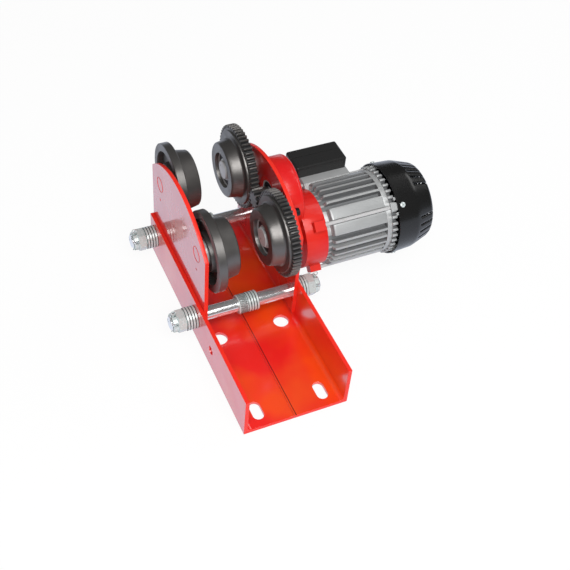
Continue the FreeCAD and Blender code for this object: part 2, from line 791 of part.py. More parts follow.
circlip = new_body("axle_circlip")
journal = "wheel_bearing_inner / 2 - running_clearance"
pad(circlip, "XZ", [("circle", "0", "0", f"{journal} + circlip_width / 2"),
                    ("circle", "0", "0", f"{journal} - circlip_width / 2 + running_clearance")],
    "bearing_start - circlip_thickness", "circlip_thickness")
pocket(circlip, "XZ", [bar("1", "wheel_bearing_outer", 90, "circlip_width")],
       "bearing_start - 2 * circlip_thickness", "3 * circlip_thickness")
copies("axle_circlips", circlip, list(CORNERS.values()))


# Pinion shaft and reduction gear, drawn round the output axis
OUTPUT = {"z": "axle_z"}
TURNED = {"z": "axle_z", "axis": (0, 1, 0), "angle": "motor_angle"}
MOTOR = {"x": "motor_x", "z": "motor_z"}
MOTOR_TURNED = {"x": "motor_x", "z": "motor_z", "axis": (0, 1, 0), "angle": "motor_angle"}


def pinion_shaft():
    """The output shaft with its pinion cut from the solid, its journals and its key seat."""
    body = new_body("drive_pinion_shaft", **OUTPUT)
    tip = "wheel_module * (pinion_teeth + 2) / 2"
    seat = "pinion_bearing_inner / 2 - running_clearance"
    tail = "tail_bearing_inner / 2 - running_clearance"
    collar = "pinion_bearing_inner / 2 + 2.5"
    revolve(body, [[("0", "pinion_start"), (f"{tip} - 1", "pinion_start"),
                    (tip, "pinion_start + 1"), (tip, "pinion_end"),
                    (collar, "pinion_end"), (collar, "pinion_bearing_start"),
                    (seat, "pinion_bearing_start"), (seat, "gear_end"), (tail, "gear_end"),
                    (tail, "case_end + tail_bearing_width"),
                    ("0", "case_end + tail_bearing_width")]])
    cut_teeth(body, "pinion_teeth", "wheel_module", "180 / pinion_teeth", "pinion_start - 1",
              "pinion_width + 1")
    pocket(body, "XZ", [bar("pinion_bearing_inner / 2 - 3", "pinion_bearing_inner", 90, "key_width")],
           "pinion_bearing_end + 0.5", "gear_end - pinion_bearing_end - 0.5")
    return node(body)


def reduction_gear():
    """The large gear of the closed reduction: rim, thin web and keyed hub."""
    body = new_body("reduction_gear", **TURNED)
    tip = "reduction_module * (reduction_teeth + 2) / 2"
    rim = "reduction_module * (reduction_teeth - 2.5) / 2 - 4"
    hub, bore = "reduction_hub_diameter / 2", "pinion_bearing_inner / 2 + seat_clearance"
    face = "gear_start + (reduction_gear_width - reduction_web) / 2"
    revolve(body, [[(bore, "gear_start"), (hub, "gear_start"), (hub, face), (rim, face),
                    (rim, "gear_start"), (tip, "gear_start"), (tip, "gear_end"),
                    (rim, "gear_end"), (rim, f"{face} + reduction_web"),
                    (hub, f"{face} + reduction_web"), (hub, "gear_end"), (bore, "gear_end")]])
    cut_teeth(body, "reduction_teeth", "reduction_module", "0", "gear_start - 1",
              "reduction_gear_width + 2")
    pocket(body, "XZ", [bar("1", "pinion_bearing_inner / 2 + 2.2", "90 + motor_angle", "key_width")],
           "gear_start - 1", "reduction_gear_width + 2")
    return node(body)


pinion_shaft()
reduction_gear()
key = new_body("reduction_gear_key", **OUTPUT)
pad(key, "XZ", [bar("pinion_bearing_inner / 2 - 3", "pinion_bearing_inner / 2 + 2", 90,
                    "key_width - 0.1")], "gear_start", "reduction_gear_width")
node(key)
bearing("pinion_bearing", "pinion_bearing_inner", "pinion_bearing_outer",
        "pinion_bearing_start", "pinion_bearing_width", **OUTPUT)
bearing("pinion_tail_bearing", "tail_bearing_inner", "tail_bearing_outer",
        "case_end + 0.2", "tail_bearing_width - 0.2", **OUTPUT)


# Gearbox case and cover
def two_lobes(large, small, at):
    """Loops of the case's outline: the gear's circle, the bridge and the pinion's circle."""
    return [[("circle", "0", "0", large)],
            [[("0", f"-({small})"), (at, f"-({small})"), (at, small), ("0", small)]],
            [("circle", at, "0", small)]]


EARS = ("ear_angle_front", "ear_angle_rear", "ear_angle_low")


def gearbox_case():
    """A cast cup on the wheel plate: round over the gear, with a lobe over the rotor pinion."""
    body = new_body("gearbox_case", **TURNED)
    for loops in two_lobes("case_radius", "lobe_radius", "reduction_centres"):
        pad(body, "XZ", loops, "wall_inner", "case_depth")
    for sign in ("", "-"):
        pad(body, "XZ", [("circle", "cover_boss_along", f"{sign}cover_boss_across",
                          "cover_boss_radius")], "wall_inner", "case_depth")
    for angle in EARS:
        turned = f"{angle} + motor_angle"
        x, z = polar("ear_radius", turned)
        pad(body, "XZ", [("circle", x, z, "ear_size")], "wall_inner", "ear_thickness")
        pad(body, "XZ", [bar("case_radius - 5", "ear_radius", turned, "2 * ear_size")],
            "wall_inner", "ear_thickness")
    pad(body, "XZ", [("circle", "0", "0", "case_spigot_diameter / 2")],
        "wall_inner - case_spigot_length", "case_spigot_length")
    for loops in two_lobes("case_radius - case_wall", "lobe_radius - case_wall",
                           "reduction_centres"):
        pocket(body, "XZ", loops, "wall_inner + case_floor", "case_depth")
    pad(body, "XZ", [("circle", "0", "0", "case_spigot_diameter / 2")],
        "wall_inner + case_floor", "case_boss_height")
    pocket(body, "XZ", [("circle", "0", "0", "pinion_bearing_outer / 2 + seat_clearance")],
           "wall_inner - case_spigot_length - 1", "case_spigot_length + case_depth")
    holes = []
    for angle in EARS:
        x, z = polar("ear_radius", f"{angle} + motor_angle")
        holes.append(("circle", x, z, "ear_screw_diameter / 2 + screw_clearance"))
    pocket(body, "XZ", holes, "wall_inner - 1", "ear_thickness + 2")
    pocket(body, "XZ", [("circle", "cover_boss_along", f"{sign}cover_boss_across",
                         "cover_screw_diameter / 2 + screw_clearance") for sign in ("", "-")],
           "case_end - 12", "13")
    return node(body)


def gearbox_cover():
    """The case's lid, cast in one with the motor's front ring, its lugs and both bearing seats."""
    body = new_body("gearbox_cover", **MOTOR_TURNED)
    centres = "reduction_centres"
    pad(body, "XZ", [("circle", f"-{centres}", "0", "case_radius")], "case_end", "cover_thickness")
    fillet(body, "case_edge_round", lambda edge: edge.CenterOfMass.y > value("cover_face") - 0.1)
    pad(body, "XZ", [("circle", "0", "0", "motor_ring_radius")], "case_end",
        "cover_thickness + motor_ring_length")
    pad(body, "XZ", [("circle", f"-{centres}", "0", "tail_bearing_outer / 2 + tail_boss_wall")],
        "case_end", "tail_bearing_width + tail_boss_wall")
    lug = pad(body, "XZ", [bar("motor_ring_radius - 5", "lug_radius", "45 + motor_angle",
                               "lug_width")], "frame_start - lug_setback - lug_length", "lug_length")
    repeat(body, [lug], 4)
    pocket(body, "XZ", [("circle", "0", "0", "motor_ring_radius - motor_ring_wall")],
           "cover_face + cover_floor", "motor_ring_length")
    pad(body, "XZ", [("circle", "0", "0", "front_bearing_outer / 2 + motor_ring_wall")],
        "cover_face + cover_floor", "front_bearing_width - cover_floor + 3")
    pocket(body, "XZ", [("circle", "0", "0", "front_bearing_outer / 2 + seat_clearance")],
           "front_bearing_start", "front_bearing_width + 5")
    pocket(body, "XZ", [("circle", "0", "0", "front_bearing_outer / 2 - 6")],
           "case_end - 1", "cover_thickness + 5")
    pocket(body, "XZ", [("circle", f"-{centres}", "0", "tail_bearing_outer / 2 + seat_clearance")],
           "case_end - 1", "tail_bearing_width + 1")
    x, z = polar("through_bolt_radius", "45 + motor_angle")
    thread = pocket(body, "XZ", [("circle", x, z, "through_bolt_diameter / 2 + screw_clearance")],
                    "frame_start - through_bolt_entry - 1", "through_bolt_entry + 2")
    repeat(body, [thread], 4)
    pocket(body, "XZ", [("circle", f"cover_boss_along - {centres}", f"{sign}cover_boss_across",
                         "cover_screw_diameter / 2 + screw_clearance") for sign in ("", "-")],
           "case_end - 1", "cover_thickness + motor_ring_length + 2")
    return node(body)


def cap_screw(label, diameter, head_at, length):
    """A socket head cap screw along Y: its head beyond head_at and its shank before it."""
    body = new_body(label)
    head = f"{diameter} * 0.85"
    pad(body, "XZ", [("circle", "0", "0", f"{diameter} / 2")], f"{head_at} - ({length})", length)
    pad(body, "XZ", [("circle", "0", "0", head)], head_at, diameter)
    corner = f"{diameter} * 0.42 / cos(30 * 1deg)"
    pocket(body, "XZ", [[polar(corner, 60 * k) for k in range(6)]], f"{head_at} + {diameter} / 2",
           diameter)
    return body


gearbox_case()
gearbox_cover()
case_screw = cap_screw("case_screw", "ear_screw_diameter", "wall_inner + ear_thickness",
                       "ear_thickness + wheel_plate_thickness")
copies("gearbox_mounting_screws", case_screw, [
    {"x": polar("ear_radius", angle)[0], "z": f"axle_z + {polar('ear_radius', angle)[1]}"}
    for angle in EARS])
lid_screw = cap_screw("lid_screw", "cover_screw_diameter", "cover_face + cover_floor",
                      "cover_floor + cover_thickness + 10")
copies("gearbox_cover_screws", lid_screw, [
    {"x": f"cover_boss_along * cos(motor_angle * 1deg) {sign} cover_boss_across * sin(motor_angle * 1deg)",
     "z": f"axle_z - cover_boss_along * sin(motor_angle * 1deg) {sign} cover_boss_across * cos(motor_angle * 1deg)"}
    for sign in ("+", "-")])


# Motor
def fin_gaps():
    """The gaps between the cooling fins of one quarter, between two smooth bands."""
    gaps = []
    for k in range(SIZES["fin_gap_count"]):
        angle = f"-45 + fin_band_angle / 2 + ({k} + 0.5) * fin_pitch"
        gaps.append([aside("fin_root_radius", angle, "-fin_root_gap / 2"),
                     aside("fin_radius + 2", angle, "-fin_tip_gap / 2"),
                     aside("fin_radius + 2", angle, "fin_tip_gap / 2"),
                     aside("fin_root_radius", angle, "fin_root_gap / 2")])
    return gaps


def motor_frame():
    """The cast frame: plain collar, cooling fins with rounded ends, and the terminal box's pad."""
    body = new_body("motor_frame", **MOTOR)
    step = "frame_start + collar_length"
    revolve(body, [[("0", "frame_start"), ("collar_radius", "frame_start"),
                    ("collar_radius", step), ("fin_radius - fin_end_round", step),
                    ("fin_radius", f"{step} + fin_end_round", "fin_end_round"),
                    ("fin_radius", "frame_end"), ("0", "frame_end")]])
    gaps = pocket(body, "XZ", fin_gaps(), "frame_start - 1", "frame_length + 2")
    repeat(body, [gaps], 4)
    pad(body, "XZ", [[("-pad_outer_x", "pad_z"), ("-pad_outer_x", "pad_z - pad_thickness"),
                      ("-pad_outer_x + 20", "pad_z - pad_thickness"),
                      polar("fin_root_radius - 1", 162), polar("fin_root_radius - 1", 128),
                      ("-pad_inner_x", "pad_z")]], "frame_start", "pad_length")
    x, z = polar("through_bolt_radius", 45)
    groove = pocket(body, "XZ", [("circle", x, z, "through_bolt_diameter / 2 + bolt_groove_slack")],
                    "frame_start - 1", "frame_length + 2")
    repeat(body, [groove], 4)
    pocket(body, "XZ", [("circle", "0", "0", "frame_bore_radius")], "frame_start - 1",
           "frame_length + 2")
    tray = "box_wall + 1"
    pocket(body, "XY", [[(f"-box_outer_x + {tray}", f"frame_start + {tray}"),
                         (f"-box_outer_x + box_width - {tray}", f"frame_start + {tray}"),
                         (f"-box_outer_x + box_width - {tray}", f"frame_start + pad_length - {tray}"),
                         (f"-box_outer_x + {tray}", f"frame_start + pad_length - {tray}")]],
           "pad_z - tray_depth", "tray_depth + 1")
    pocket(body, "XY", [("circle", "gland_x", "gland_y", "gland_diameter / 2 - 2")],
           "pad_z - pad_thickness - 1", "pad_thickness + 1")
    return node(body)


def radial_holes(body):
    """Holes for the fan cover's screws, cut outwards from the motor's axis at four corners."""
    sketch = body.newObject("Sketcher::SketchObject", "screw_line")
    sketch.AttachmentSupport = (origin_part(body, "YZ_Plane"), [""])
    sketch.MapMode = "FlatFace"
    sketch.AttachmentOffset = Placement(Vector(0, 0, 0), Rotation(Vector(1, 0, 0), 45))
    draw_circle(sketch, "cover_screw_y", "0", "fan_cover_screw_diameter / 2 + screw_clearance")
    feature = body.newObject("PartDesign::Pocket", "screw_hole")
    feature.Profile = sketch
    feature.Reversed = True
    bind(feature, "Length", "fan_cover_radius + 2")
    document.recompute()
    repeat(body, [feature], 4)


def rear_end_shield():
    """The rear shield: rim, web, bearing seat, a crown of ribs, bolt lugs and fan cover posts."""
    body = new_body("rear_end_shield", **MOTOR)
    seat, boss = "rear_bearing_outer / 2 + seat_clearance", "rear_bearing_outer / 2 + 4"
    web = "shield_end - shield_web"
    revolve(body, [[(seat, "frame_end"), (boss, "frame_end"), (boss, web),
                    ("frame_bore_radius", web), ("frame_bore_radius", "frame_end"),
                    ("shield_rim_radius", "frame_end"),
                    ("shield_rim_radius", "frame_end + shield_rim_length"),
                    ("shield_rim_radius - 3", "shield_end"),
                    ("rear_bearing_inner / 2 + 1.5", "shield_end"),
                    ("rear_bearing_inner / 2 + 1.5", "rear_bearing_end"),
                    (seat, "rear_bearing_end")]])
    middle, half = "180 / shield_rib_count", "shield_rib_width / 2"
    foot, top = "frame_bore_radius + 2", f"shield_rib_radius - {half}"
    rib = pad(body, "XZ", [[aside(foot, middle, f"-{half}"), aside(top, middle, f"-{half}"),
                            (*aside(top, middle, half), half), aside(foot, middle, half)]],
              "frame_end + shield_rim_length", "shield_rib_length")
    repeat(body, [rib], "shield_rib_count")
    lug = pad(body, "XZ", [bar("frame_bore_radius + 1", "shield_lug_radius", 45, "lug_width - 3")],
              "frame_end + shield_rim_length", "bolt_head_start - frame_end - shield_rim_length")
    repeat(body, [lug], 4)
    foot, reach = "fan_radius + 2", "shield_end + arch_length"
    arch = []
    for side in ("", "-"):
        low, high = f"{side}(arch_width / 2 - arch_leg)", f"{side}arch_width / 2"
        leg = [aside(foot, 45, low), aside("arch_radius", 45, low),
               aside("arch_radius", 45, high), aside(foot, 45, high)]
        arch.append(pad(body, "XZ", [leg], "shield_end - 0.5", "arch_length + 0.5"))
    arch.append(pad(body, "XZ", [bar("fan_radius + 4", "arch_radius", 45, "arch_width")],
                    f"{reach} - arch_top", "arch_top"))
    repeat(body, arch, 4)
    x, z = polar("through_bolt_radius", 45)
    hole = pocket(body, "XZ", [("circle", x, z, "through_bolt_diameter / 2 + screw_clearance")],
                  "frame_end - 1", "shield_depth + 6")
    repeat(body, [hole], 4)
    radial_holes(body)
    return node(body)


def rotor_shaft():
    """The rotor shaft with the reduction's pinion cut on its front end."""
    body = new_body("rotor_shaft", **MOTOR_TURNED)
    tip = "reduction_module * (rotor_pinion_teeth + 2) / 2"
    front = "front_bearing_inner / 2 - running_clearance"
    rear = "rear_bearing_inner / 2 - running_clearance"
    middle, fan = "rotor_shaft_diameter / 2", "fan_journal_diameter / 2"
    revolve(body, [[("0", "gear_start - 1"), (tip, "gear_start - 1"), (tip, "gear_end + 1"),
                    (front, "gear_end + 1"), (front, "front_bearing_end + 0.3"),
                    (middle, "front_bearing_end + 0.3"), (middle, "rear_bearing_start - 0.3"),
                    (rear, "rear_bearing_start - 0.3"), (rear, "rear_bearing_end + 1"),
                    (fan, "rear_bearing_end + 1"), (fan, "fan_to + 1"), ("0", "fan_to + 1")]])
    cut_teeth(body, "rotor_pinion_teeth", "reduction_module", "180 / rotor_pinion_teeth",
              "gear_start - 2", "reduction_gear_width + 3")
    return node(body)


def plain_ring(label, outer, inner, start, length):
    """A ring round the motor's axis."""
    body = new_body(label, **MOTOR)
    pad(body, "XZ", [("circle", "0", "0", outer), ("circle", "0", "0", inner)], start, length)
    return body


def cooling_fan():
    """A radial fan: hub, disc and straight blades."""
    body = new_body("cooling_fan", **MOTOR)
    bore, hub = "fan_journal_diameter / 2 + seat_clearance", "fan_hub_diameter / 2"
    revolve(body, [[(bore, "fan_from"), (hub, "fan_from"), (hub, "fan_to - fan_disc"),
                    ("fan_radius - 6", "fan_to - fan_disc"), ("fan_radius - 6", "fan_to"),
                    (bore, "fan_to")]])
    blade = pad(body, "XZ", [bar(f"{hub} - 1", "fan_radius", 0, "fan_blade_thickness")],
                "fan_from + 1", "fan_length - 1 - fan_disc / 2")
    repeat(body, [blade], "fan_blade_count")
    return node(body)


def vent_slots():
    """One quarter's group of slots, side by side round the motor's axis."""
    middle = (SIZES["vent_group_count"] - 1) / 2
    return [bar("vent_inner_radius", "fan_cover_radius + 2", f"({k} - {middle}) * vent_pitch",
                "vent_width") for k in range(SIZES["vent_group_count"])]


def fan_cover():
    """The black cover: a straight skirt, a cone and a back, with four groups of slots."""
    body = new_body("fan_cover", **MOTOR)
    wall, front, end = "fan_cover_wall", "fan_cover_front", "fan_cover_back"
    crease = f"{front} + fan_cover_skirt"
    outside = [("fan_cover_radius", front), ("fan_cover_radius - fan_cover_taper", crease),
               ("fan_cover_cone_radius", f"{crease} + fan_cover_cone"),
               ("fan_cover_back_radius", end)]
    inside = [(f"{r} - {wall}", y) for r, y in outside[::-1]]
    inside[0] = (f"fan_cover_back_radius - {wall}", f"{end} - {wall}")
    revolve(body, [outside + [("0", end), ("0", f"{end} - {wall}")] + inside])
    vents = pocket(body, "XZ", vent_slots(), f"{end} - vent_depth", "vent_depth + 1")
    repeat(body, [vents], 4)
    radial_holes(body)
    return node(body)


motor_frame()
rear_end_shield()
rotor_shaft()
node(plain_ring("rotor_core", "rotor_diameter / 2", "rotor_shaft_diameter / 2 + seat_clearance",
                "stator_from", "stator_length"))
node(plain_ring("stator_core", "frame_bore_radius - seat_clearance", "rotor_diameter / 2 + air_gap",
                "stator_from", "stator_length"))
front_turns = plain_ring("front_turns", "winding_outer_radius", "winding_inner_radius",
                         "stator_from - winding_length", "winding_length")
rear_turns = plain_ring("rear_turns", "winding_outer_radius", "winding_inner_radius",
                        "stator_to", "winding_length")
windings = document.addObject("Part::Compound", "stator_windings")
windings.Links = [front_turns, rear_turns]
node(windings, "stator_windings")
bearing("rotor_front_bearing", "front_bearing_inner", "front_bearing_outer",
        "front_bearing_start", "front_bearing_width", **MOTOR)
bearing("rotor_rear_bearing", "rear_bearing_inner", "rear_bearing_outer",
        "rear_bearing_start", "rear_bearing_width", **MOTOR)
cooling_fan()
fan_cover()

through_bolt = new_body("through_bolt")
pad(through_bolt, "XZ", [("circle", "0", "0", "through_bolt_diameter / 2")],
    "frame_start - through_bolt_entry", "bolt_head_start - frame_start + through_bolt_entry")
pad(through_bolt, "XZ", [[polar("bolt_head_flats / 2 / cos(30 * 1deg)", 60 * k) for k in range(6)]],
    "bolt_head_start", "bolt_head_height")
copies("motor_through_bolts", through_bolt, [
    {"x": f"motor_x + {polar('through_bolt_radius', angle)[0]}",
     "z": f"motor_z + {polar('through_bolt_radius', angle)[1]}"} for angle in (45, 135, 225, 315)])


# Terminal box
def terminal_box_cover():
    """A long low hood, open below, with a step along its top."""
    body = new_body("terminal_box_cover", x="motor_x - box_outer_x", y="box_start",
                    z="motor_z + pad_z")
    corners = [("0", "0"), ("box_width", "0"), ("box_width", "box_length"), ("0", "box_length")]
    pad(body, "XY", [corners], "0", "box_height")
    fillet(body, "box_edge_round", lambda edge: edge.BoundBox.ZMax > value("box_height") - 0.1)
    inner = [("box_wall", "box_wall"), ("box_width - box_wall", "box_wall"),
             ("box_width - box_wall", "box_length - box_wall"), ("box_wall", "box_length - box_wall")]
    pocket(body, "XY", [inner], "-1", "box_height - box_wall + 1")
    pocket(body, "XY", [[("box_width * 0.42", "-1"), ("box_width * 0.42 + 1", "-1"),
                         ("box_width * 0.42 + 1", "box_length + 1"),
                         ("box_width * 0.42", "box_length + 1")]], "box_height - 0.6", "1")
    return node(body)


def terminal_block():
    body = new_body("terminal_block", x="motor_x - box_outer_x", y="box_start",
                    z="motor_z + pad_z - tray_depth")
    pad(body, "XY", [[("8", "18"), ("box_width - 8", "18"), ("box_width - 8", "58"), ("8", "58")]],
        "0", "tray_depth + 5")
    for k in range(3):
        pocket(body, "XY", [("circle", "box_width / 2", f"26 + {12 * k}", "2.5")], "tray_depth", "6")
    return node(body)


def cable_gland():
    """The cable's inlet below the terminals: a flanged sleeve through the pad's floor."""
    body = new_body("cable_gland", x="motor_x + gland_x", y="gland_y",
                    z="motor_z + pad_z - pad_thickness", axis=(1, 0, 0), angle=-90)
    edge, inner_end = "gland_diameter / 2", "tray_depth - pad_thickness - 1"
    revolve(body, [[("2.5", inner_end), (f"{edge} - 2.1", inner_end),
                    (f"{edge} - 2.1", "0"), (edge, "0"), (edge, "4"), (f"{edge} - 0.8", "4.6"),
                    (f"{edge} - 0.8", "gland_length - 3"), (f"{edge} - 2.5", "gland_length"),
                    ("2.5", "gland_length")]])
    return node(body)


terminal_box_cover()
terminal_block()
cable_gland()

cover_screw = new_body("cover_screw")
seat = "fan_cover_radius + 0.1"
tip, shank = "arch_radius - 3", "fan_cover_screw_diameter / 2"
revolve(cover_screw, [[("0", tip), (shank, tip), (shank, seat), ("fan_cover_screw_head / 2", seat),
                       ("fan_cover_screw_head / 2", f"{seat} + 0.5"),
                       ("fan_cover_screw_head / 2 - 1.5", f"{seat} + 1.2"), ("0", f"{seat} + 1.2")]])
for turn in (0, 90):
    pocket(cover_screw, "XZ", [bar("-1.8", "1.8", turn, "0.8")], f"{seat} + 0.4", "2")
copies("fan_cover_screws", cover_screw, [
    {"x": "motor_x", "y": "cover_screw_y", "z": "motor_z", "angle": 90,
     "axis": (round(sin, 6), 0, round(-cos, 6))}
    for cos, sin in ((0.707107, 0.707107), (-0.707107, 0.707107),
                     (-0.707107, -0.707107), (0.707107, -0.707107))])

document.recompute()


# Check and write every piece
def faults(item):
    """List what is wrong with an object: a failed state, or a bad shape."""
    found = [word for word in item.State if word in ("Invalid", "Error")]
    shape = getattr(item, "Shape", None)
    if item in nodes and (shape is None or shape.isNull() or not shape.isValid()):
        found.append("bad shape")
    return found


problems = {item.Name: faults(item) for item in document.Objects if faults(item)}
if problems:
    raise ValueError(f"objects with faults: {problems}")

os.makedirs("parts", exist_ok=True)
for item in nodes:
    item.Shape.exportStep(f"parts/{item.Label}.step")
    print(item.Label, len(item.Shape.Solids), "solids", round(item.Shape.Volume / 1000, 2), "cm3")
print(len(nodes), "pieces")
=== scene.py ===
# %% [markdown]
# # An electric beam trolley, dressed for a studio picture
# The solids of this trolley come from its source, already in their true sizes.  This lesson gives
# each of them its finish, makes the pieces that need a finer surface, and photographs the whole.

# %% Load the solids
import math
import bmesh
import bpy
import numpy as np
from mathutils import Matrix, Vector


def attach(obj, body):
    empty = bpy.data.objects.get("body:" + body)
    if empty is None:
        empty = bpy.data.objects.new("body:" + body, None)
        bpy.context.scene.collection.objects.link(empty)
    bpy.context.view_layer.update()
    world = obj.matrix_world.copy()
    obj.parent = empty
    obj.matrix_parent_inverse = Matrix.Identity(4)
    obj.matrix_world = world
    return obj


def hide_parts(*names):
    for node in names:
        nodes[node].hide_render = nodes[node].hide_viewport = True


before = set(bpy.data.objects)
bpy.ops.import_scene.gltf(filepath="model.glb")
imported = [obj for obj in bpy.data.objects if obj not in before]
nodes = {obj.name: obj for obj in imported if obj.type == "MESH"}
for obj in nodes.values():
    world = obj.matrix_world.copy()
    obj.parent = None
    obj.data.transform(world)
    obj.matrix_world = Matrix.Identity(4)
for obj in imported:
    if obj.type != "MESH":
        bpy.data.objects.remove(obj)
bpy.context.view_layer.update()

scene = bpy.context.scene
mm = 0.001

# %% [markdown]
# ## The camera
# The picture is taken from the free end of the angles, a little above 45 degrees, with a long lens
# and a slight roll.  A camera looks along its own -Z, so its matrix has the way to the right, the
# way up and the way back to the camera as its three columns.

# %% Camera
def studio_camera(azimuth, elevation, roll, distance, target, focal):
    """back = (sin a cos e, -cos a cos e, sin e); right is the horizon's line turned by roll."""
    a, e, t = (math.radians(x) for x in (azimuth, elevation, roll))
    back = Vector((math.sin(a) * math.cos(e), -math.cos(a) * math.cos(e), math.sin(e)))
    level = (-back).cross(Vector((0, 0, 1))).normalized()
    up = level.cross(-back)
    right = level * math.cos(t) + up * math.sin(t)
    above = up * math.cos(t) - level * math.sin(t)
    lens = bpy.data.cameras.new("studio_camera")
    lens.sensor_width = 36
    lens.lens = focal
    camera = bpy.data.objects.new("studio_camera", lens)
    place = Matrix((right, above, back)).transposed().to_4x4()
    place.translation = Vector(target) + back * distance
    camera.matrix_world = place
    scene.collection.objects.link(camera)
    return camera


scene.camera = studio_camera(azimuth=61.81, elevation=47.26, roll=5.88, distance=1.33185,
                             target=(0.08859, 0.04865, 0.0625), focal=65.83)
scene.view_settings.view_transform = "Standard"
print("camera at", [round(x, 3) for x in scene.camera.location])

# %% [markdown]
# ## The room
# Glossy paint is only as good as what it mirrors.  One world gives three strengths, told apart by
# the kind of ray: the camera sees a white room, mirrors see a dim sky that keeps the wheels dark,
# and the light that falls on the object lies between the two.  Each step of the sum is
# strength = step before + share of the ray * change.

# %% Room
def room_world(lit, mirrored, seen):
    """World strength: one for soft light, one for what mirrors show, one for the camera."""
    world = bpy.data.worlds.new("studio")
    world.use_nodes = True
    tree = world.node_tree
    tree.nodes.clear()
    path = tree.nodes.new("ShaderNodeLightPath")
    direct = tree.nodes.new("ShaderNodeMath")
    direct.operation = "MAXIMUM"
    tree.links.new(path.outputs["Is Camera Ray"], direct.inputs[0])
    tree.links.new(path.outputs["Is Transmission Ray"], direct.inputs[1])
    strength = None
    for amount, change in ((path.outputs["Is Glossy Ray"], mirrored - lit),
                           (direct.outputs[0], seen - lit)):
        step = tree.nodes.new("ShaderNodeMath")
        step.operation = "MULTIPLY_ADD"
        tree.links.new(amount, step.inputs[0])
        step.inputs[1].default_value = change
        step.inputs[2].default_value = lit
        if strength:
            tree.links.new(strength, step.inputs[2])
        strength = step.outputs[0]
    light = tree.nodes.new("ShaderNodeBackground")
    light.inputs["Color"].default_value = (1, 1, 1, 1)
    out = tree.nodes.new("ShaderNodeOutputWorld")
    tree.links.new(strength, light.inputs["Strength"])
    tree.links.new(light.outputs[0], out.inputs[0])
    scene.world = world


room_world(lit=0.37, mirrored=0.065, seen=1.0)
print("world:", scene.world.name)

# %% [markdown]
# ## Floor and panels
# The floor is a plain pale sheet.  The camera and the mirrors see most of it as an even light of
# its own, so the page stays white and the rods get a bright, slightly cool band below.  A large
# soft panel in front gives long clean highlights, and a weak one reaches the motor from behind.

# %% Floor and panels
def soft_panel(name, place, aim, size, power):
    """Area light at place, turned so that its -Z looks at aim."""
    data = bpy.data.lights.new(name, "AREA")
    data.shape = "RECTANGLE"
    data.size, data.size_y = size
    data.energy = power
    panel = bpy.data.objects.new(name, data)
    panel.location = place
    panel.rotation_euler = (Vector(aim) - Vector(place)).to_track_quat("-Z", "Y").to_euler()
    scene.collection.objects.link(panel)


def pale_floor(half, z):
    """A flat sheet; camera and mirrors see own_light of it as glow and the rest as shaded grey."""
    grey, mirror_tint, own_light = 0.86, (0.80, 0.86, 1.0), 0.93
    corners = np.array([(-half, -half, z), (half, -half, z), (half, half, z), (-half, half, z)])
    mesh = bpy.data.meshes.new("floor")
    mesh.from_pydata(corners.tolist(), [], [(0, 1, 2, 3)])
    floor = bpy.data.objects.new("floor", mesh)
    scene.collection.objects.link(floor)
    surface = bpy.data.materials.new("pale floor")
    surface.use_nodes = True
    tree = surface.node_tree
    tree.nodes.clear()
    sheet = tree.nodes.new("ShaderNodeBsdfDiffuse")
    sheet.inputs["Color"].default_value = (grey, grey, grey, 1)
    glow = tree.nodes.new("ShaderNodeEmission")
    tint = tree.nodes.new("ShaderNodeMix")
    tint.data_type = "RGBA"
    tint.inputs["A"].default_value = (1, 1, 1, 1)
    tint.inputs["B"].default_value = (*mirror_tint, 1)
    path = tree.nodes.new("ShaderNodeLightPath")
    share = tree.nodes.new("ShaderNodeMath")
    share.operation = "MULTIPLY"
    share.inputs[1].default_value = own_light
    mix = tree.nodes.new("ShaderNodeMixShader")
    out = tree.nodes.new("ShaderNodeOutputMaterial")
    either = tree.nodes.new("ShaderNodeMath")
    either.operation = "MAXIMUM"
    tree.links.new(path.outputs["Is Camera Ray"], either.inputs[0])
    tree.links.new(path.outputs["Is Glossy Ray"], either.inputs[1])
    tree.links.new(either.outputs[0], share.inputs[0])
    tree.links.new(path.outputs["Is Glossy Ray"], tint.inputs["Factor"])
    tree.links.new(tint.outputs["Result"], glow.inputs["Color"])
    tree.links.new(share.outputs[0], mix.inputs[0])
    tree.links.new(sheet.outputs[0], mix.inputs[1])
    tree.links.new(glow.outputs[0], mix.inputs[2])
    tree.links.new(mix.outputs[0], out.inputs[0])
    mesh.materials.append(surface)


pale_floor(half=6, z=-0.0005)
soft_panel("key panel", place=(1.2, -0.2, 1.55), aim=(0.05, 0.05, 0.08), size=(1.3, 1.3), power=37)
soft_panel("rear panel", place=(-0.3, 1.6, 1.3), aim=(0.0, 0.1, 0.1), size=(1.2, 0.6), power=6)

# %% [markdown]
# ## Shared surface effects
# Four effects come back on many pieces, so each is a node group, built once.  The first two rest
# on the same noise: handled metal has cloudy patches where it is a little duller, and castings and
# thick paint have a soft unevenness.

# %% Clouds and uneven skin
a_number, a_vector, a_colour = "NodeSocketFloat", "NodeSocketVector", "NodeSocketColor"


def group_of(name, inputs, output, kind):
    """An empty shader group with inputs {label: kind} and one output; returns it and its ends."""
    group = bpy.data.node_groups.new(name, "ShaderNodeTree")
    for label, socket in inputs.items():
        group.interface.new_socket(label, in_out="INPUT", socket_type=socket)
    group.interface.new_socket(output, in_out="OUTPUT", socket_type=kind)
    return group, group.nodes.new("NodeGroupInput"), group.nodes.new("NodeGroupOutput")


def noise_of(group, source, detail):
    """Noise over a piece's own coordinates, as fine as the group's Size; returns both nodes."""
    where = group.nodes.new("ShaderNodeTexCoord")
    noise = group.nodes.new("ShaderNodeTexNoise")
    noise.inputs["Detail"].default_value = detail
    group.links.new(where.outputs["Object"], noise.inputs["Vector"])
    group.links.new(source.outputs["Size"], noise.inputs["Scale"])
    return where, noise


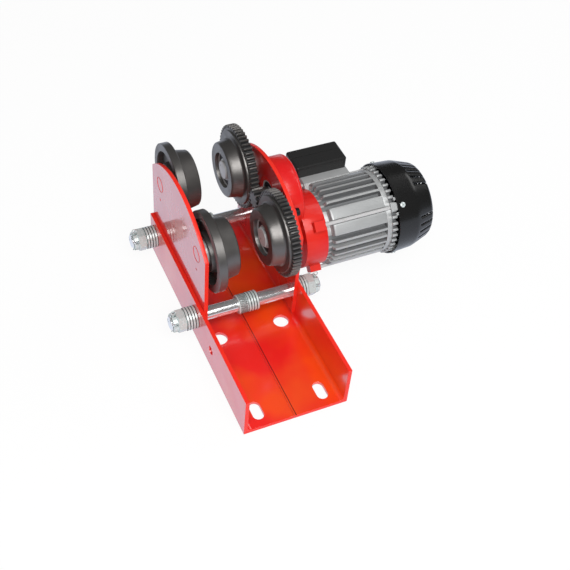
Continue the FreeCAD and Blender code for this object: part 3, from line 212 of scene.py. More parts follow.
def spread_of(group, noise, low, high):
    """share = (noise - low) / (high - low), kept within 0 and 1."""
    spread = group.nodes.new("ShaderNodeMapRange")
    spread.inputs["From Min"].default_value = low
    spread.inputs["From Max"].default_value = high
    group.links.new(noise.outputs["Fac"], spread.inputs["Value"])
    return spread


def cloud_group():
    """value = low + (high - low) * share, for a roughness that drifts over the surface."""
    inputs = {"Size": a_number, "Low": a_number, "High": a_number}
    group, source, sink = group_of("cloudy roughness", inputs, "Roughness", a_number)
    _, noise = noise_of(group, source, detail=4)
    spread = spread_of(group, noise, low=0.3, high=0.7)
    group.links.new(source.outputs["Low"], spread.inputs["To Min"])
    group.links.new(source.outputs["High"], spread.inputs["To Max"])
    group.links.new(spread.outputs["Result"], sink.inputs["Roughness"])
    return group


def bump_group():
    """normal = surface tilted by the slope of a noise height, for orange peel or cast skin."""
    inputs = {"Size": a_number, "Depth": a_number}
    group, source, sink = group_of("uneven skin", inputs, "Normal", a_vector)
    _, noise = noise_of(group, source, detail=3)
    bump = group.nodes.new("ShaderNodeBump")
    group.links.new(noise.outputs["Fac"], bump.inputs["Height"])
    group.links.new(source.outputs["Depth"], bump.inputs["Distance"])
    group.links.new(bump.outputs["Normal"], sink.inputs["Normal"])
    return group


cloudy, uneven = cloud_group(), bump_group()
print("effects:", cloudy.name, uneven.name)

# %% [markdown]
# Turned steel has fine rings round its axis, left by the point of the tool.  Paint that was sprayed
# on thickly drifts between two reds.  The seam of the two angles gets a painted shadow: a thin,
# nearly black line along the middle of the channel, made as a part of the same colour.

# %% Turning rings, colour patches and the seam's painted shadow
def lathe_group():
    """normal tilted by rings whose height is a wave of the distance from a centre, round Y."""
    inputs = {"Centre": a_vector, "Rings": a_number, "Depth": a_number}
    group, source, sink = group_of("turning rings", inputs, "Normal", a_vector)
    where = group.nodes.new("ShaderNodeTexCoord")
    move = group.nodes.new("ShaderNodeVectorMath")
    move.operation = "SUBTRACT"
    wave = group.nodes.new("ShaderNodeTexWave")
    wave.wave_type = "RINGS"
    wave.rings_direction = "Y"
    wave.inputs["Distortion"].default_value = 0.6
    wave.inputs["Detail"].default_value = 2
    bump = group.nodes.new("ShaderNodeBump")
    group.links.new(where.outputs["Object"], move.inputs[0])
    group.links.new(source.outputs["Centre"], move.inputs[1])
    group.links.new(move.outputs[0], wave.inputs["Vector"])
    group.links.new(source.outputs["Rings"], wave.inputs["Scale"])
    group.links.new(wave.outputs["Fac"], bump.inputs["Height"])
    group.links.new(source.outputs["Depth"], bump.inputs["Distance"])
    group.links.new(bump.outputs["Normal"], sink.inputs["Normal"])
    return group


def patch_and_seam_shadow_group():
    """colour = first + (second - first) * share; the line |y| < a half width is darkened as the
    seam's painted shadow, by the seam input.
    """
    # A thin nearly black line along y = 0: painted shadow of the seam between the two angles.
    seam_shadow_half, seam_shadow_colour = 0.0005, (0.03, 0.002, 0.002)
    inputs = {"First": a_colour, "Second": a_colour, "Size": a_number, "Seam": a_number}
    group, source, sink = group_of("patchy colour and seam shadow", inputs, "Colour", a_colour)
    where, noise = noise_of(group, source, detail=3)
    spread = spread_of(group, noise, low=0.4, high=0.6)
    mix = group.nodes.new("ShaderNodeMix")
    mix.data_type = "RGBA"
    group.links.new(spread.outputs["Result"], mix.inputs["Factor"])
    group.links.new(source.outputs["First"], mix.inputs["A"])
    group.links.new(source.outputs["Second"], mix.inputs["B"])
    apart = group.nodes.new("ShaderNodeSeparateXYZ")
    aside = group.nodes.new("ShaderNodeMath")
    aside.operation = "ABSOLUTE"
    near = group.nodes.new("ShaderNodeMath")
    near.operation = "LESS_THAN"
    near.inputs[1].default_value = seam_shadow_half
    amount = group.nodes.new("ShaderNodeMath")
    amount.operation = "MULTIPLY"
    dark = group.nodes.new("ShaderNodeMix")
    dark.data_type = "RGBA"
    dark.inputs["B"].default_value = (*seam_shadow_colour, 1)
    group.links.new(where.outputs["Object"], apart.inputs[0])
    group.links.new(apart.outputs["Y"], aside.inputs[0])
    group.links.new(aside.outputs[0], near.inputs[0])
    group.links.new(near.outputs[0], amount.inputs[0])
    group.links.new(source.outputs["Seam"], amount.inputs[1])
    group.links.new(amount.outputs[0], dark.inputs["Factor"])
    group.links.new(mix.outputs["Result"], dark.inputs["A"])
    group.links.new(dark.outputs["Result"], sink.inputs["Colour"])
    return group


lathe, patches_and_seam_shadow = lathe_group(), patch_and_seam_shadow_group()
print("effects:", lathe.name, patches_and_seam_shadow.name)

# %% [markdown]
# ## Finishes
# One function makes every finish from plain numbers, and wires in the effects where they are asked
# for.  What is the same all over a surface stays on the shader's own sockets.  Rough is (low, high,
# size of the clouds), skin is (size, depth), rings is (rings, depth), and patches is (second
# colour, size, darkness of the painted shadow along the seam).

# %% Finish maker
def add_effect(tree, group, socket, **numbers):
    """Put an effect, set to some numbers, in front of one of the shader's sockets."""
    effect = tree.nodes.new("ShaderNodeGroup")
    effect.node_tree = group
    for label, value in numbers.items():
        effect.inputs[label].default_value = value
    tree.links.new(effect.outputs[0], tree.nodes["Principled BSDF"].inputs[socket])


def finish(name, colour, rough, metallic=0.0, coat=0.0, coat_rough=0.03, coat_ior=1.5,
           skin=None, rings=None, centre=(0, 0, 0), patches=None, shine=0.5):
    """A Principled finish: cloudy roughness, an uneven or turned normal, colour in patches and a
    painted seam shadow.
    """
    made = bpy.data.materials.new(name)
    made.use_nodes = True
    made.diffuse_color = (*colour, 1)
    tree = made.node_tree
    shader = tree.nodes["Principled BSDF"]
    shader.inputs["Base Color"].default_value = (*colour, 1)
    shader.inputs["Metallic"].default_value = metallic
    shader.inputs["Coat Weight"].default_value = coat
    shader.inputs["Coat Roughness"].default_value = coat_rough
    shader.inputs["Coat IOR"].default_value = coat_ior
    shader.inputs["Specular IOR Level"].default_value = shine
    low, high, size = rough
    add_effect(tree, cloudy, "Roughness", Size=size, Low=low, High=high)
    if skin:
        size, depth = skin
        add_effect(tree, uneven, "Normal", Size=size, Depth=depth)
    if patches:
        second, size, seam = patches
        add_effect(tree, patches_and_seam_shadow, "Base Color", First=(*colour, 1), Second=(*second, 1), Size=size,
                   Seam=seam)
    if rings:
        count, depth = rings
        add_effect(tree, lathe, "Normal", Centre=centre, Rings=count, Depth=depth)
    return made


print("effects a finish can use:", [group.name for group in bpy.data.node_groups])

# %% [markdown]
# The turned finish needs to know the axis of each wheel and shaft, so those places come first, in
# metres.  The motor hangs from the pinion's axle by the centre distance of its two gears.

# %% Finishes
axle_z = 0.1365
wheel_x = 0.066
gear_centres, motor_angle = 0.05475, math.radians(63)
motor_x = gear_centres * math.cos(motor_angle)
motor_z = axle_z - gear_centres * math.sin(motor_angle)
spots = {"front": (wheel_x, 0, axle_z), "rear": (-wheel_x, 0, axle_z), "middle": (0, 0, axle_z),
         "motor": (motor_x, 0, motor_z)}

plate_paint = finish("red gloss paint on the plates", (0.62, 0.008, 0.014),
                     rough=(0.24, 0.34, 25), coat=1.0, coat_rough=0.06, coat_ior=1.9,
                     skin=(90, 0.00006), patches=((0.64, 0.016, 0.010), 14, 0))
red_paint = finish("red paint on the gearbox", (0.62, 0.006, 0.007), rough=(0.34, 0.46, 25),
                   coat=0.25, coat_rough=0.16, coat_ior=1.45, skin=(90, 0.00006),
                   patches=((0.64, 0.014, 0.005), 14, 0), shine=0.3)
# The angles' patches put in the seam's painted shadow at full strength.
angle_paint = finish("red gloss paint on the angles", (0.85, 0.060, 0.003),
                     rough=(0.28, 0.38, 25), coat=0.9, coat_rough=0.16, coat_ior=1.8,
                     skin=(70, 0.00007), patches=((0.80, 0.012, 0.008), 11, 1))
edge_paint = finish("red paint on cut edges", (0.80, 0.022, 0.010), rough=(0.40, 0.50, 25),
                    coat=0.2, coat_rough=0.2, skin=(90, 0.00006), shine=0.3)
zinc = finish("bright zinc", (0.58, 0.64, 0.63), metallic=0.25, rough=(0.20, 0.34, 90),
              skin=(260, 0.00004))
rod_zinc = finish("polished zinc", (0.84, 0.85, 0.86), metallic=0.8, rough=(0.10, 0.20, 90))
# Near-black zinc: painted shade in the knurls' grooves and at the washers' chamfers, where they
# meet.
groove_shade_zinc = finish("zinc darkened as painted shade in grooves", (0.06, 0.06, 0.062), metallic=0.2,
                     rough=(0.5, 0.6, 90))
steel = finish("ground steel", (0.52, 0.52, 0.52), metallic=0.15, rough=(0.26, 0.36, 120))
cast_metal = finish("cast aluminium", (0.44, 0.45, 0.45), metallic=0.42, rough=(0.44, 0.56, 80),
                    skin=(900, 0.00008))
# A darker copy of the cast aluminium: painted shade between the fins and the ribs.
fin_painted_shade = finish("cast aluminium darkened as painted shade between the fins", (0.22, 0.225, 0.23), metallic=0.4,
                    rough=(0.45, 0.6, 80), skin=(900, 0.00008))
black_paint = finish("black gloss", (0.020, 0.020, 0.020), rough=(0.22, 0.32, 30), coat=0.15,
                     coat_rough=0.10, skin=(120, 0.00005), shine=0.25)
black_cover = finish("black satin cover", (0.009, 0.009, 0.009), rough=(0.22, 0.32, 30), coat=0.2,
                     coat_rough=0.10, skin=(120, 0.00005), shine=0.3)
# Near-black steel: painted shade in the gaps between the teeth.
tooth_gap_shade_steel = finish("dark steel as painted shade between teeth", (0.03, 0.03, 0.031), metallic=0.3,
                     rough=(0.4, 0.5, 70))
black_screw = finish("black oxide screw", (0.02, 0.02, 0.022), metallic=0.6,
                     rough=(0.3, 0.45, 200))
black_plastic = finish("black moulded plastic", (0.010, 0.010, 0.011), rough=(0.36, 0.5, 150),
                       skin=(1500, 0.00005))
copper = finish("enamelled copper wire", (0.42, 0.13, 0.035), metallic=0.7, rough=(0.28, 0.4, 300))
gear_steel = {spot: finish("dark turned steel " + spot, (0.155, 0.148, 0.142), metallic=0.8,
                           rough=(0.32, 0.44, 70), rings=(900, 0.00002), centre=centre)
              for spot, centre in spots.items()}
print("finishes:", len(bpy.data.materials))

# %% [markdown]
# ## Dressing the solids
# Every solid gets one main finish, chosen from its name.  The wheels turn about their own axes, so
# front and rear have a finish of their own.

# %% Main finishes
def node_finish(name):
    """Choose a finish from a solid's own name."""
    spot = "front" if "front" in name else "rear" if "rear" in name else "middle"
    if name in ("left_load_angle", "right_load_angle"):
        return angle_paint
    if name in ("left_wheel_plate", "right_wheel_plate"):
        return plate_paint
    if name in ("gearbox_case", "gearbox_cover"):
        return red_paint
    if name.endswith("_wheel"):
        return gear_steel[spot]
    if name in ("drive_pinion_shaft", "reduction_gear", "reduction_gear_key"):
        return gear_steel["middle"]
    if name in ("rotor_shaft", "rotor_core", "stator_core"):
        return gear_steel["motor"]
    if name in ("motor_frame", "rear_end_shield"):
        return cast_metal
    if name == "fan_cover":
        return black_cover
    if name == "terminal_box_cover":
        return black_paint
    if name in ("gearbox_mounting_screws", "gearbox_cover_screws"):
        return black_screw
    if name in ("cooling_fan", "terminal_block", "cable_gland"):
        return black_plastic
    if name == "stator_windings":
        return copper
    if "bearing" in name or name.endswith(("_axle", "_circlips", "_through_bolts")):
        return steel
    return zinc


for name, solid in nodes.items():
    solid.data.materials.clear()
    solid.data.materials.append(node_finish(name))
print("dressed:", len(nodes))

# %% [markdown]
# Some solids get a second finish on a few of their faces, found by where the faces lie and which
# way they look: black on the shields of the bearings, which also stands for painted shade far in
# the bore, painted shade on the chamfers of the washers, the cut edges of the plates, painted shade
# in the gaps between the teeth, painted shade in the sunken places between the fins, and the
# painted ends of the axles.

# %% Second finishes
def face_facts(solid):
    """Centres and normals of a solid's faces, in millimetres from the frame's origin."""
    count = len(solid.data.polygons)
    centres, normals = np.empty(count * 3, np.float32), np.empty(count * 3, np.float32)
    solid.data.polygons.foreach_get("center", centres)
    solid.data.polygons.foreach_get("normal", normals)
    turn = np.array(solid.matrix_world)
    centres = centres.reshape(-1, 3) @ turn[:3, :3].T + turn[:3, 3]
    return centres / mm, normals.reshape(-1, 3) @ turn[:3, :3].T


def second_finish(solid, material, chosen):
    """Give the chosen faces of a solid a second finish."""
    solid.data.materials.append(material)
    solid.data.polygons.foreach_set("material_index", chosen.astype(np.int32))
    solid.data.update()


def seal_faces(solid):
    """A bearing's shields: the flat end faces between its two races."""
    race_share, end_on = 0.15, 0.9
    centres, normals = face_facts(solid)
    reach = np.hypot(centres[:, 0] - centres[:, 0].mean(), centres[:, 2] - centres[:, 2].mean())
    low, high = reach.min(), reach.max()
    race = race_share * (high - low)
    return (reach > low + race) & (reach < high - race) & (np.abs(normals[:, 1]) > end_on)


def axis_reach(centres, x, z):
    """How far faces lie from an axis along Y, in millimetres; x and z are in metres."""
    return np.hypot(centres[:, 0] - x / mm, centres[:, 2] - z / mm)


# Where second finishes start, in millimetres.  A face within the margin of a plane lies in it.
# Each toothed piece has its axis and how far from it the gaps between its teeth lie.
margin = 0.1
plate_face, angle_top, free_end = 64.0 - margin, 62.0 - margin, 243.0 - margin
fin_floor, fins_start, fins_end = 54.6, 120, 199
rib_floor, ribs_start = 57.6, 203.6
tooth_gaps = {"right_front_geared_wheel": (wheel_x, 50.5, 54.4),
              "right_rear_geared_wheel": (-wheel_x, 50.5, 54.4),
              "drive_pinion_shaft": (0.0, 9.0, 12.4)}

# How much of a face's normal runs along Y: on a chamfer, and at most on a face that looks sideways.
chamfer_low, chamfer_high, sideways = 0.3, 0.95, 0.5
for name, solid in nodes.items():
    if "bearing" in name:
        # The shields get black plastic: the black of their rubber, and also painted shade far in
        # the bore round the axle.
        second_finish(solid, black_plastic, seal_faces(solid))
    if name.endswith("_washers"):
        # The washers' chamfers, where one washer meets the next, get painted shade.
        slope = np.abs(face_facts(solid)[1][:, 1])
        second_finish(solid, groove_shade_zinc, (slope > chamfer_low) & (slope < chamfer_high))
    if name.endswith("_wheel_plate"):
        second_finish(solid, edge_paint, np.abs(face_facts(solid)[1][:, 1]) < sideways)
    if name.endswith("_load_angle"):
        centres = face_facts(solid)[0]
        cut = (centres[:, 2] > angle_top) | (centres[:, 0] > free_end)
        second_finish(solid, edge_paint, cut)
    if name in tooth_gaps:
        axis, low, high = tooth_gaps[name]
        centres, normals = face_facts(solid)
        reach = axis_reach(centres, axis, axle_z)
        # Faces in the tooth gaps that look sideways get painted shade.
        tooth_gap_shade = (reach > low) & (reach < high) & (np.abs(normals[:, 1]) < sideways)
        second_finish(solid, tooth_gap_shade_steel, tooth_gap_shade)
    if name in ("motor_frame", "rear_end_shield"):
        centres = face_facts(solid)[0]
        reach, along = axis_reach(centres, motor_x, motor_z), centres[:, 1]
        # Faces sunk between the fins and the ribs get the darker copy as painted shade.
        fin_shade_faces = (reach < fin_floor) & (along > fins_start) & (along < fins_end)
        fin_shade_faces |= (reach < rib_floor) & (along > ribs_start)
        second_finish(solid, fin_painted_shade, fin_shade_faces)
    if name.endswith("_axle"):
        second_finish(solid, plate_paint, np.abs(face_facts(solid)[0][:, 1]) > plate_face)
print("with a second finish:", sum(len(solid.data.materials) > 1 for solid in nodes.values()))

# %% [markdown]
# ## Softened edges
# No cast or cut edge is a perfect knife edge: it catches a thin line of light.  A Bevel modifier
# gives that line, but the solids come as loose triangles.  So the stack first welds them, then
# joins flat triangles into whole faces, and only then rounds every edge sharper than a set angle.
# Loop slide is off on the load angles, whose bevels would otherwise slide a hair past the end face.

# %% Edge softener
def soften(solid, width):
    """Weld, rejoin flat faces, round edges sharper than an angle by a width, keep flats flat."""
    flat_limit, sharp = math.radians(0.5), math.radians(35)
    weld = solid.modifiers.new("weld", "WELD")
    weld.merge_threshold = 1e-6
    flat = solid.modifiers.new("flat faces", "DECIMATE")
    flat.decimate_type = "DISSOLVE"
    flat.angle_limit = flat_limit
    edge = solid.modifiers.new("soft edge", "BEVEL")
    edge.width = width
    edge.segments = 2
    edge.limit_method = "ANGLE"
    edge.angle_limit = sharp
    edge.use_clamp_overlap = True
    edge.harden_normals = True
    edge.loop_slide = "load_angle" not in solid.name


edge_widths = {"left_load_angle": 0.3, "right_load_angle": 0.3,
               "left_wheel_plate": 0.25, "right_wheel_plate": 0.25,
               "left_front_axle": 0.9, "left_rear_axle": 0.9,
               "right_front_axle": 0.5, "right_rear_axle": 0.5,
               "gearbox_case": 0.8, "gearbox_cover": 0.7,
               "motor_frame": 0.5, "rear_end_shield": 0.5,
               "right_front_geared_wheel": 0.25, "right_rear_geared_wheel": 0.25,
               "drive_pinion_shaft": 0.2, "terminal_box_cover": 0.6}
for name, width in edge_widths.items():
    soften(nodes[name], width * mm)
print("softened:", len(edge_widths))

# %% [markdown]
# ## Surfaces from arrays
# Every new piece below is a grid of points: rows run along a profile and columns run round an
# axis.  The whole grid is one numpy array, and quads join neighbouring points.  A mask can leave
# quads out, which is how slots are cut.

# %% Grid surfaces
def grid_quads(rows, columns, close_rows):
    """Corner numbers of the quads of a grid: columns always close, rows where asked."""
    i = np.arange(rows if close_rows else rows - 1)[:, None]
    j = np.arange(columns)[None, :]
    here, below, beside = i * columns, (i + 1) % rows * columns, (j + 1) % columns
    corners = [here + j, here + beside, below + beside, below + j]
    return np.stack([np.broadcast_to(c, (i.size, j.size)) for c in corners], axis=-1)


def grid_mesh(name, points, close_rows=True, keep=None, slots=None):
    """A mesh from a rows x columns x 3 array in mm; keep and slots have one value a quad."""
    rows, columns = points.shape[:2]
    quads = grid_quads(rows, columns, close_rows)
    chosen = np.ones(quads.shape[:2], bool) if keep is None else keep
    faces = quads[chosen]
    mesh = bpy.data.meshes.new(name)
    mesh.vertices.add(rows * columns)
    mesh.vertices.foreach_set("co", (points.reshape(-1, 3) * mm).astype(np.float32).ravel())
    mesh.loops.add(faces.size)
    mesh.loops.foreach_set("vertex_index", faces.astype(np.int32).ravel())
    mesh.polygons.add(len(faces))
    mesh.polygons.foreach_set("loop_start", np.arange(0, faces.size, 4, dtype=np.int32))
    if slots is not None:
        mesh.polygons.foreach_set("material_index", slots[chosen].astype(np.int32))
    mesh.update(calc_edges=True)
    return mesh


print("quads of a 3 x 4 grid:", grid_quads(3, 4, False).shape[:2])

# %% [markdown]
# A row that shrinks to one point leaves doubled points and flat quads, and a mask leaves loose
# points.  So each mesh is cleaned before it is shaded.  Meshes of one finish and one body are then
# joined into one piece.

# %% Clean meshes and pieces
def settle(mesh, angle):
    """Merge doubled points, drop loose ones, point faces outwards, shade smooth up to an angle."""
    work = bmesh.new()
    work.from_mesh(mesh)
    bmesh.ops.remove_doubles(work, verts=work.verts, dist=1e-7)
    bmesh.ops.dissolve_degenerate(work, edges=work.edges, dist=1e-7)
    bmesh.ops.delete(work, geom=[v for v in work.verts if not v.link_faces], context="VERTS")
    bmesh.ops.recalc_face_normals(work, faces=work.faces)
    work.to_mesh(mesh)
    work.free()
    mesh.shade_smooth()
    mesh.set_sharp_from_angle(angle=math.radians(angle))
    return mesh


def place_piece(name, meshes, materials, body):
    """Join meshes into one object at the origin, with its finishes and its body."""
    work = bmesh.new()
    for mesh in meshes:
        work.from_mesh(mesh)
    whole = bpy.data.meshes.new(name)
    work.to_mesh(whole)
    work.free()
    for material in materials:
        whole.materials.append(material)
    piece = bpy.data.objects.new(name, whole)
    scene.collection.objects.link(piece)
    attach(piece, body)
    print(name, len(whole.polygons), "faces")
    return piece


print("meshes so far:", len(bpy.data.meshes))

# %% [markdown]
# Nearly all of the new pieces are round an axis along Y.  Their points come from one formula, and
# a rounded profile from one rule.

# %% Profiles round an axis
def rounded(corners, times):
    """Chaikin's rule: each pass replaces a corner by points a quarter and three quarters along."""
    line = np.asarray(corners, float)
    for _ in range(times):
        here, ahead = line[:-1], line[1:]
        cut = np.stack([0.75 * here + 0.25 * ahead, 0.25 * here + 0.75 * ahead], 1).reshape(-1, 2)
        line = np.vstack([line[:1], cut, line[-1:]])
    return line


def about_y(radius, along, angle, centre):
    """Points (cx + r sin t, y, cz + r cos t): angle t is measured round Y from straight up."""
    x = centre[0] + radius * np.sin(angle)
    y = along + 0 * x
    z = centre[1] + radius * np.cos(angle)
    return np.stack(np.broadcast_arrays(x, y, z), axis=-1)


print("points of a rounded corner:", len(rounded([(0, 0), (1, 0), (1, 1)], 2)))

# %% [markdown]
# ## Fan cover
# The real one is a drawn or moulded bowl of one wall thickness, so one sheet with its slots left
# out, given a wall by Solidify, is the closest way.  The slots are as wide near the middle as at
# the edge, so their columns follow a line of fixed offset: angle = asin(offset / radius).

# %% Fan cover
def slotted_columns(radius, count, half, inside, outside):
    """Angles of the columns of a slotted ring: per sector, inside steps in a slot, then a web."""
    pitch = 2 * np.pi / count
    widest = math.sin(0.35 * pitch)
    edge = np.arcsin(np.minimum(half / radius, widest))[:, None, None]
    sector = (np.arange(count) * pitch)[None, :, None]
    across = np.linspace(-1, 1, inside + 1)[None, None, :] * edge
    web = edge + np.linspace(0, 1, outside + 1)[None, None, 1:-1] * (pitch - 2 * edge)
    angle = np.concatenate([across, web], axis=2) + sector
    return angle.reshape(len(radius), -1)


def fan_cover_mesh(centre):
    """Bowl: profile radius(row), y(row) rounded at its corners; quads in a slot column left out."""
    sectors, inside, outside, slot_half = 32, 2, 4, 1.3
    group, slots_in_group, first = 8, 5, 2
    vent_start, vent_inner = 245, 22.5
    side = [(61.9, 212.0), (61.9, 212.6), (60.5, 236.0), (60.25, 240.0), (59.9, 242.0),
            (58.6, 246.3), (53.3, 261.8), (52.5, 264.4), (50.6, 267.6), (47.5, 269.0)]
    back = np.array([(r, side[-1][1]) for r in (46, 40, 33, 27, 22, 16, 9, 3, 1e-5)])
    profile = np.vstack([rounded(side, 2), back])
    radius, along = profile[:, 0], profile[:, 1]
    angle = slotted_columns(radius, sectors, slot_half, inside, outside) + math.radians(90)
    points = about_y(radius[:, None], along[:, None], angle, centre)
    sector, column = np.divmod(np.arange(points.shape[1]), inside + outside)
    in_slot = (column < inside) & ((sector + first) % group < slots_in_group)
    middle = 0.5 * (profile[1:] + profile[:-1])
    vented = (middle[:, 1] > vent_start) & (middle[:, 0] > vent_inner)
    keep = ~(vented[:, None] & in_slot[None, :])
    return grid_mesh("fan cover", points, close_rows=False, keep=keep)


motor_centre = (motor_x / mm, motor_z / mm)
bowl_mesh = settle(fan_cover_mesh(motor_centre), angle=40)
bowl = place_piece("fan_cover_bowl", [bowl_mesh], [black_cover], "trolley_frame")
wall = bowl.modifiers.new("wall", "SOLIDIFY")
wall.thickness = 1.6 * mm
wall.offset = -1
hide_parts("fan_cover")

# %% [markdown]
# ## Castle nuts
# A castle nut is a hexagon with its corners chamfered, and a round crown with six slots.  Its
# outside is one surface over angle and height: radius = the smaller of hexagon and chamfer cone.
# In the crown the top height drops to the slot's floor wherever a slot runs.

# %% Castle nuts
def castle_nut_mesh(centre, start, way):
    """Closed profile round the nut's wall; way is +1 or -1 along Y from the start face."""
    bore, flats, hexagon, crown, tall = 9.15, 13.5, 11.0, 12.5, 17.0
    slot_half, rim, mouth, relief, slope = 2.25, 0.7, 0.4, 0.2, 1.73
    slot_floor, mean_radius = hexagon + 0.05, flats * 1.08
    inside, outside, on_hexagon = 5, 9, np.inf
    low = np.array([0, 0.25, 0.6, 1.0, 1.4])
    heights = np.concatenate([low, [4, 7], hexagon - low[::-1]])
    base = np.concatenate([[bore + mouth], np.full(len(heights), on_hexagon),
                           [crown, crown, crown - rim, bore + rim, bore, bore]])
    level = np.concatenate([[0.0], heights,
                            [hexagon, tall - rim, tall, tall, tall - rim, mouth]])
    reach = np.where(base == on_hexagon, mean_radius, base)
    slots = np.linspace(-1, 1, inside)[None, None, :]
    edge = np.arcsin(slot_half / reach)[:, None, None]
    web = np.linspace(0, 1, outside)[None, None, :]
    pitch = math.radians(60)
    angle = np.concatenate([slots * edge, edge + web * (pitch - 2 * edge)], axis=2)
    angle = (angle + (np.arange(6) * pitch)[None, :, None]).reshape(len(reach), -1)
    off = (angle + pitch / 2) % pitch - pitch / 2
    cone = flats - relief + slope * np.minimum(level, hexagon - level)[:, None]
    hexagonal = np.minimum(flats / np.cos(off), np.maximum(cone, flats - relief))
    radius = np.where(base[:, None] == on_hexagon, hexagonal, base[:, None])
    in_slot = np.tile(np.arange(inside + outside) < inside, 6)
    height = np.where(in_slot[None, :], np.minimum(level[:, None], slot_floor), level[:, None])
    points = about_y(radius, start + way * height, angle, centre)
    return settle(grid_mesh("castle nut", points), angle=30)


# Places of the rods and, along them, of the nuts' inner faces and the split pins, in millimetres.
rod_spots = {"front": (77.0, 36.0), "rear": (-77.0, 36.0)}
nut_face, pin_y = 84.0, 98.0
nuts = [castle_nut_mesh(spot, way * nut_face, way)
        for spot in rod_spots.values() for way in (1, -1)]
castle_nuts = place_piece("castle_nuts", nuts, [zinc], "trolley_frame")
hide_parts("tie_rod_castle_nuts")

# %% [markdown]
# ## Threaded tie rods
# A screw thread is a groove that climbs as it goes round: radius = full radius minus a triangle
# wave of (along / pitch - angle / one turn).  Only the ends carry one, so the rows are close
# together there and far apart on the plain middle.

# %% Tie rods
def rod_mesh(centre):
    """A rod from -end to end, whose thread fades in over `fade_over` near both ends."""
    full, pitch, depth, end, chamfer, end_drop = 8.98, 2.5, 0.9, 103.5, 0.9, 1.2
    begin, step, fade_from, fade_over = 83.0, 0.36, 83.5, 1.5
    crest, flank = 1.3, 3.2
    threaded = np.arange(begin, end - chamfer, step)
    plain = np.linspace(0.1 - begin, begin - 0.1, 9)
    along = np.concatenate([[-end, -end + chamfer], -threaded[::-1], plain, threaded,
                            [end - chamfer, end]])
    angle = np.linspace(0, 2 * np.pi, 49)[None, :-1]
    turn = (along[:, None] / pitch - angle / (2 * np.pi)) % 1.0
    groove = depth * np.clip(crest - np.abs(turn - 0.5) * flank, 0, 1)
    fade = np.clip((np.abs(along) - fade_from) / fade_over, 0, 1)[:, None]
    radius = full - groove * fade
    radius[[0, -1]] = full - end_drop
    cap = np.zeros((1, radius.shape[1]))
    radius = np.vstack([cap, radius, cap])
    along = np.concatenate([[-end], along, [end]])[:, None]
    points = about_y(radius, along, angle, centre)
    return settle(grid_mesh("rod", points, close_rows=False), angle=50)


for where, spot in rod_spots.items():
    rod = place_piece(where + "_threaded_rod", [rod_mesh(spot)], [rod_zinc], "trolley_frame")
    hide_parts(where + "_tie_rod")

# %% [markdown]
# ## Knurled rings
# The ring in the middle of each rod is knurled so that fingers can grip it.  A diagonal groove is
# a triangle wave of (angle + a little of the length), and a crossed knurl is the deeper of two.

# %% Knurled rings
def knurled_mesh(centre):
    """Ring from y -width to 0: radius = outer - depth * the higher of two crossed waves."""
    width, outer, bore, depth = 12.5, 12.95, 9.15, 0.6
    grooves, lead, chamfer, chamfer_drop, groove_shade_from = 26, 30, 1.3, 0.9, 0.72
    along = np.linspace(-width, 0, 34)[:, None]
    angle = np.linspace(0, 2 * np.pi, 193)[None, :-1]
    lean = along * 2 * np.pi / lead
    waves = [np.abs(((angle + way * lean) * grooves / (2 * np.pi)) % 1.0 - 0.5) * 2
             for way in (1, -1)]
    end = np.clip(np.minimum(along + width, -along) / chamfer, 0, 1)
    radius = outer - depth * np.maximum(*waves) * end - chamfer_drop * (1 - end)
    inner = np.full((1, radius.shape[1]), bore)
    # Faces low in the crossed grooves get the near-black zinc as painted shade.
    low = (np.maximum(*waves) > groove_shade_from) & (end > 0.9)
    groove_shade_slots = np.vstack([low[:1] & False, low, low[:1] & False])
    radius = np.vstack([inner, radius, inner])
    along = np.concatenate([[-width], along[:, 0], [0.0]])[:, None]
    points = about_y(radius, along, angle, centre)
    return settle(grid_mesh("knurled ring", points, slots=groove_shade_slots), angle=20)


rings = [knurled_mesh(spot) for spot in rod_spots.values()]
knurled_rings = place_piece("knurled_rings", rings, [zinc, groove_shade_zinc], "trolley_frame")
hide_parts("centre_spacer_rings")

# %% [markdown]
# ## Split pins
# A split pin is one half-round wire folded into an eye, and its two tips are bent apart once it is
# through the nut.  A round wire carried along that path looks the same once it is in place.

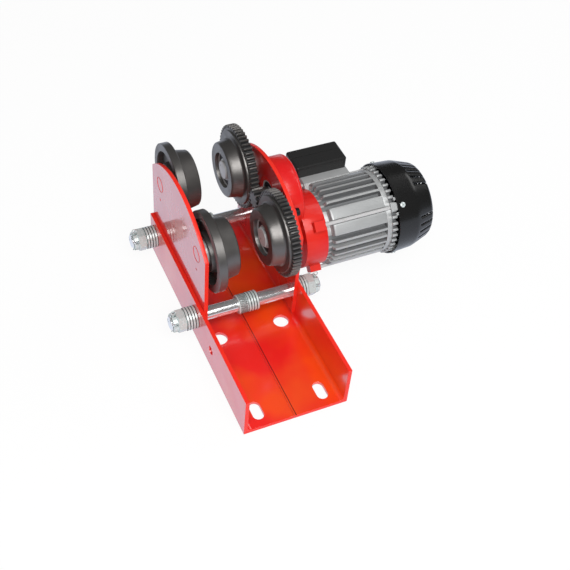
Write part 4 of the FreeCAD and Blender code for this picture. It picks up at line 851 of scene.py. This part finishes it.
# %% Split pins
def wire_mesh(path, thick, sides=8):
    """A tube of radius thick: point + thick (side cos t + normal sin t) along a flat path."""
    ahead = np.gradient(path, axis=0)
    ahead /= np.linalg.norm(ahead, axis=1)[:, None]
    flat_normal = np.array([1.0, 0, 0])
    side = np.cross(ahead, flat_normal)
    turn = np.linspace(0, 2 * np.pi, sides + 1)[None, :-1, None]
    points = path[:, None] + thick * (side[:, None] * np.cos(turn) + flat_normal * np.sin(turn))
    first, last = (np.repeat(end[:, None], sides, 1) for end in (path[:1], path[-1:]))
    tube = np.concatenate([first, points, last])
    return settle(grid_mesh("pin", tube, close_rows=False), angle=60)


def pin_path(centre, y, way):
    """Down one leg, round the eye and back up the other; tips splay to both sides of the pin."""
    half, top, bend, splay, splay_turn = 0.78, 14.5, -13.2, 3.2, 1.15
    eye_radius, eye_rise, neck = 3.0, 3.6, 0.25
    eye = np.linspace(-0.5 * np.pi + neck, 1.5 * np.pi - neck, 22)
    leg = np.linspace(bend, top, 9)
    tip = np.linspace(0, splay_turn, 6)[1:]
    lower = np.stack([half + splay * (1 - np.cos(tip)), bend - splay * np.sin(tip)], 1)
    loop = np.stack([eye_radius * np.cos(eye), top + eye_rise + eye_radius * np.sin(eye)], 1)
    right = np.stack([np.full(len(leg), half), leg], 1)
    left = right * [-1, 1]
    flat = np.vstack([lower[::-1], right, loop, left[::-1], lower * [-1, 1]])
    x = np.full(len(flat), centre[0])
    return np.stack([x, y + way * flat[:, 0], centre[1] + flat[:, 1]], 1)


pins = [wire_mesh(pin_path(spot, way * pin_y, way), thick=0.75)
        for spot in rod_spots.values() for way in (1, -1)]
split_pins = place_piece("split_pins", pins, [zinc], "trolley_frame")
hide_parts("tie_rod_split_pins")

# %% [markdown]
# ## Weld beads
# The spigot of each left axle is welded flush into its plate, and leaves a thin painted ring on the
# outside.  A torus sunk to its middle in the plate is that ring: radius = ring + bead cos u.

# %% Weld beads
def bead_mesh(centre, face):
    """Torus round Y at a plate's outer face: radius = ring + bead cos u, y = face + bead sin u."""
    ring, bead = 10.2, 0.38
    around = np.linspace(0, 2 * np.pi, 97)[None, :-1]
    section = np.linspace(0, 2 * np.pi, 11)[:-1, None]
    radius, along = ring + bead * np.cos(section), face + bead * np.sin(section)
    return settle(grid_mesh("bead", about_y(radius, along, around, centre)), angle=60)


beads = [bead_mesh((way * wheel_x / mm, axle_z / mm), face=-64.0) for way in (1, -1)]
place_piece("weld_beads", beads, [edge_paint], "trolley_frame")
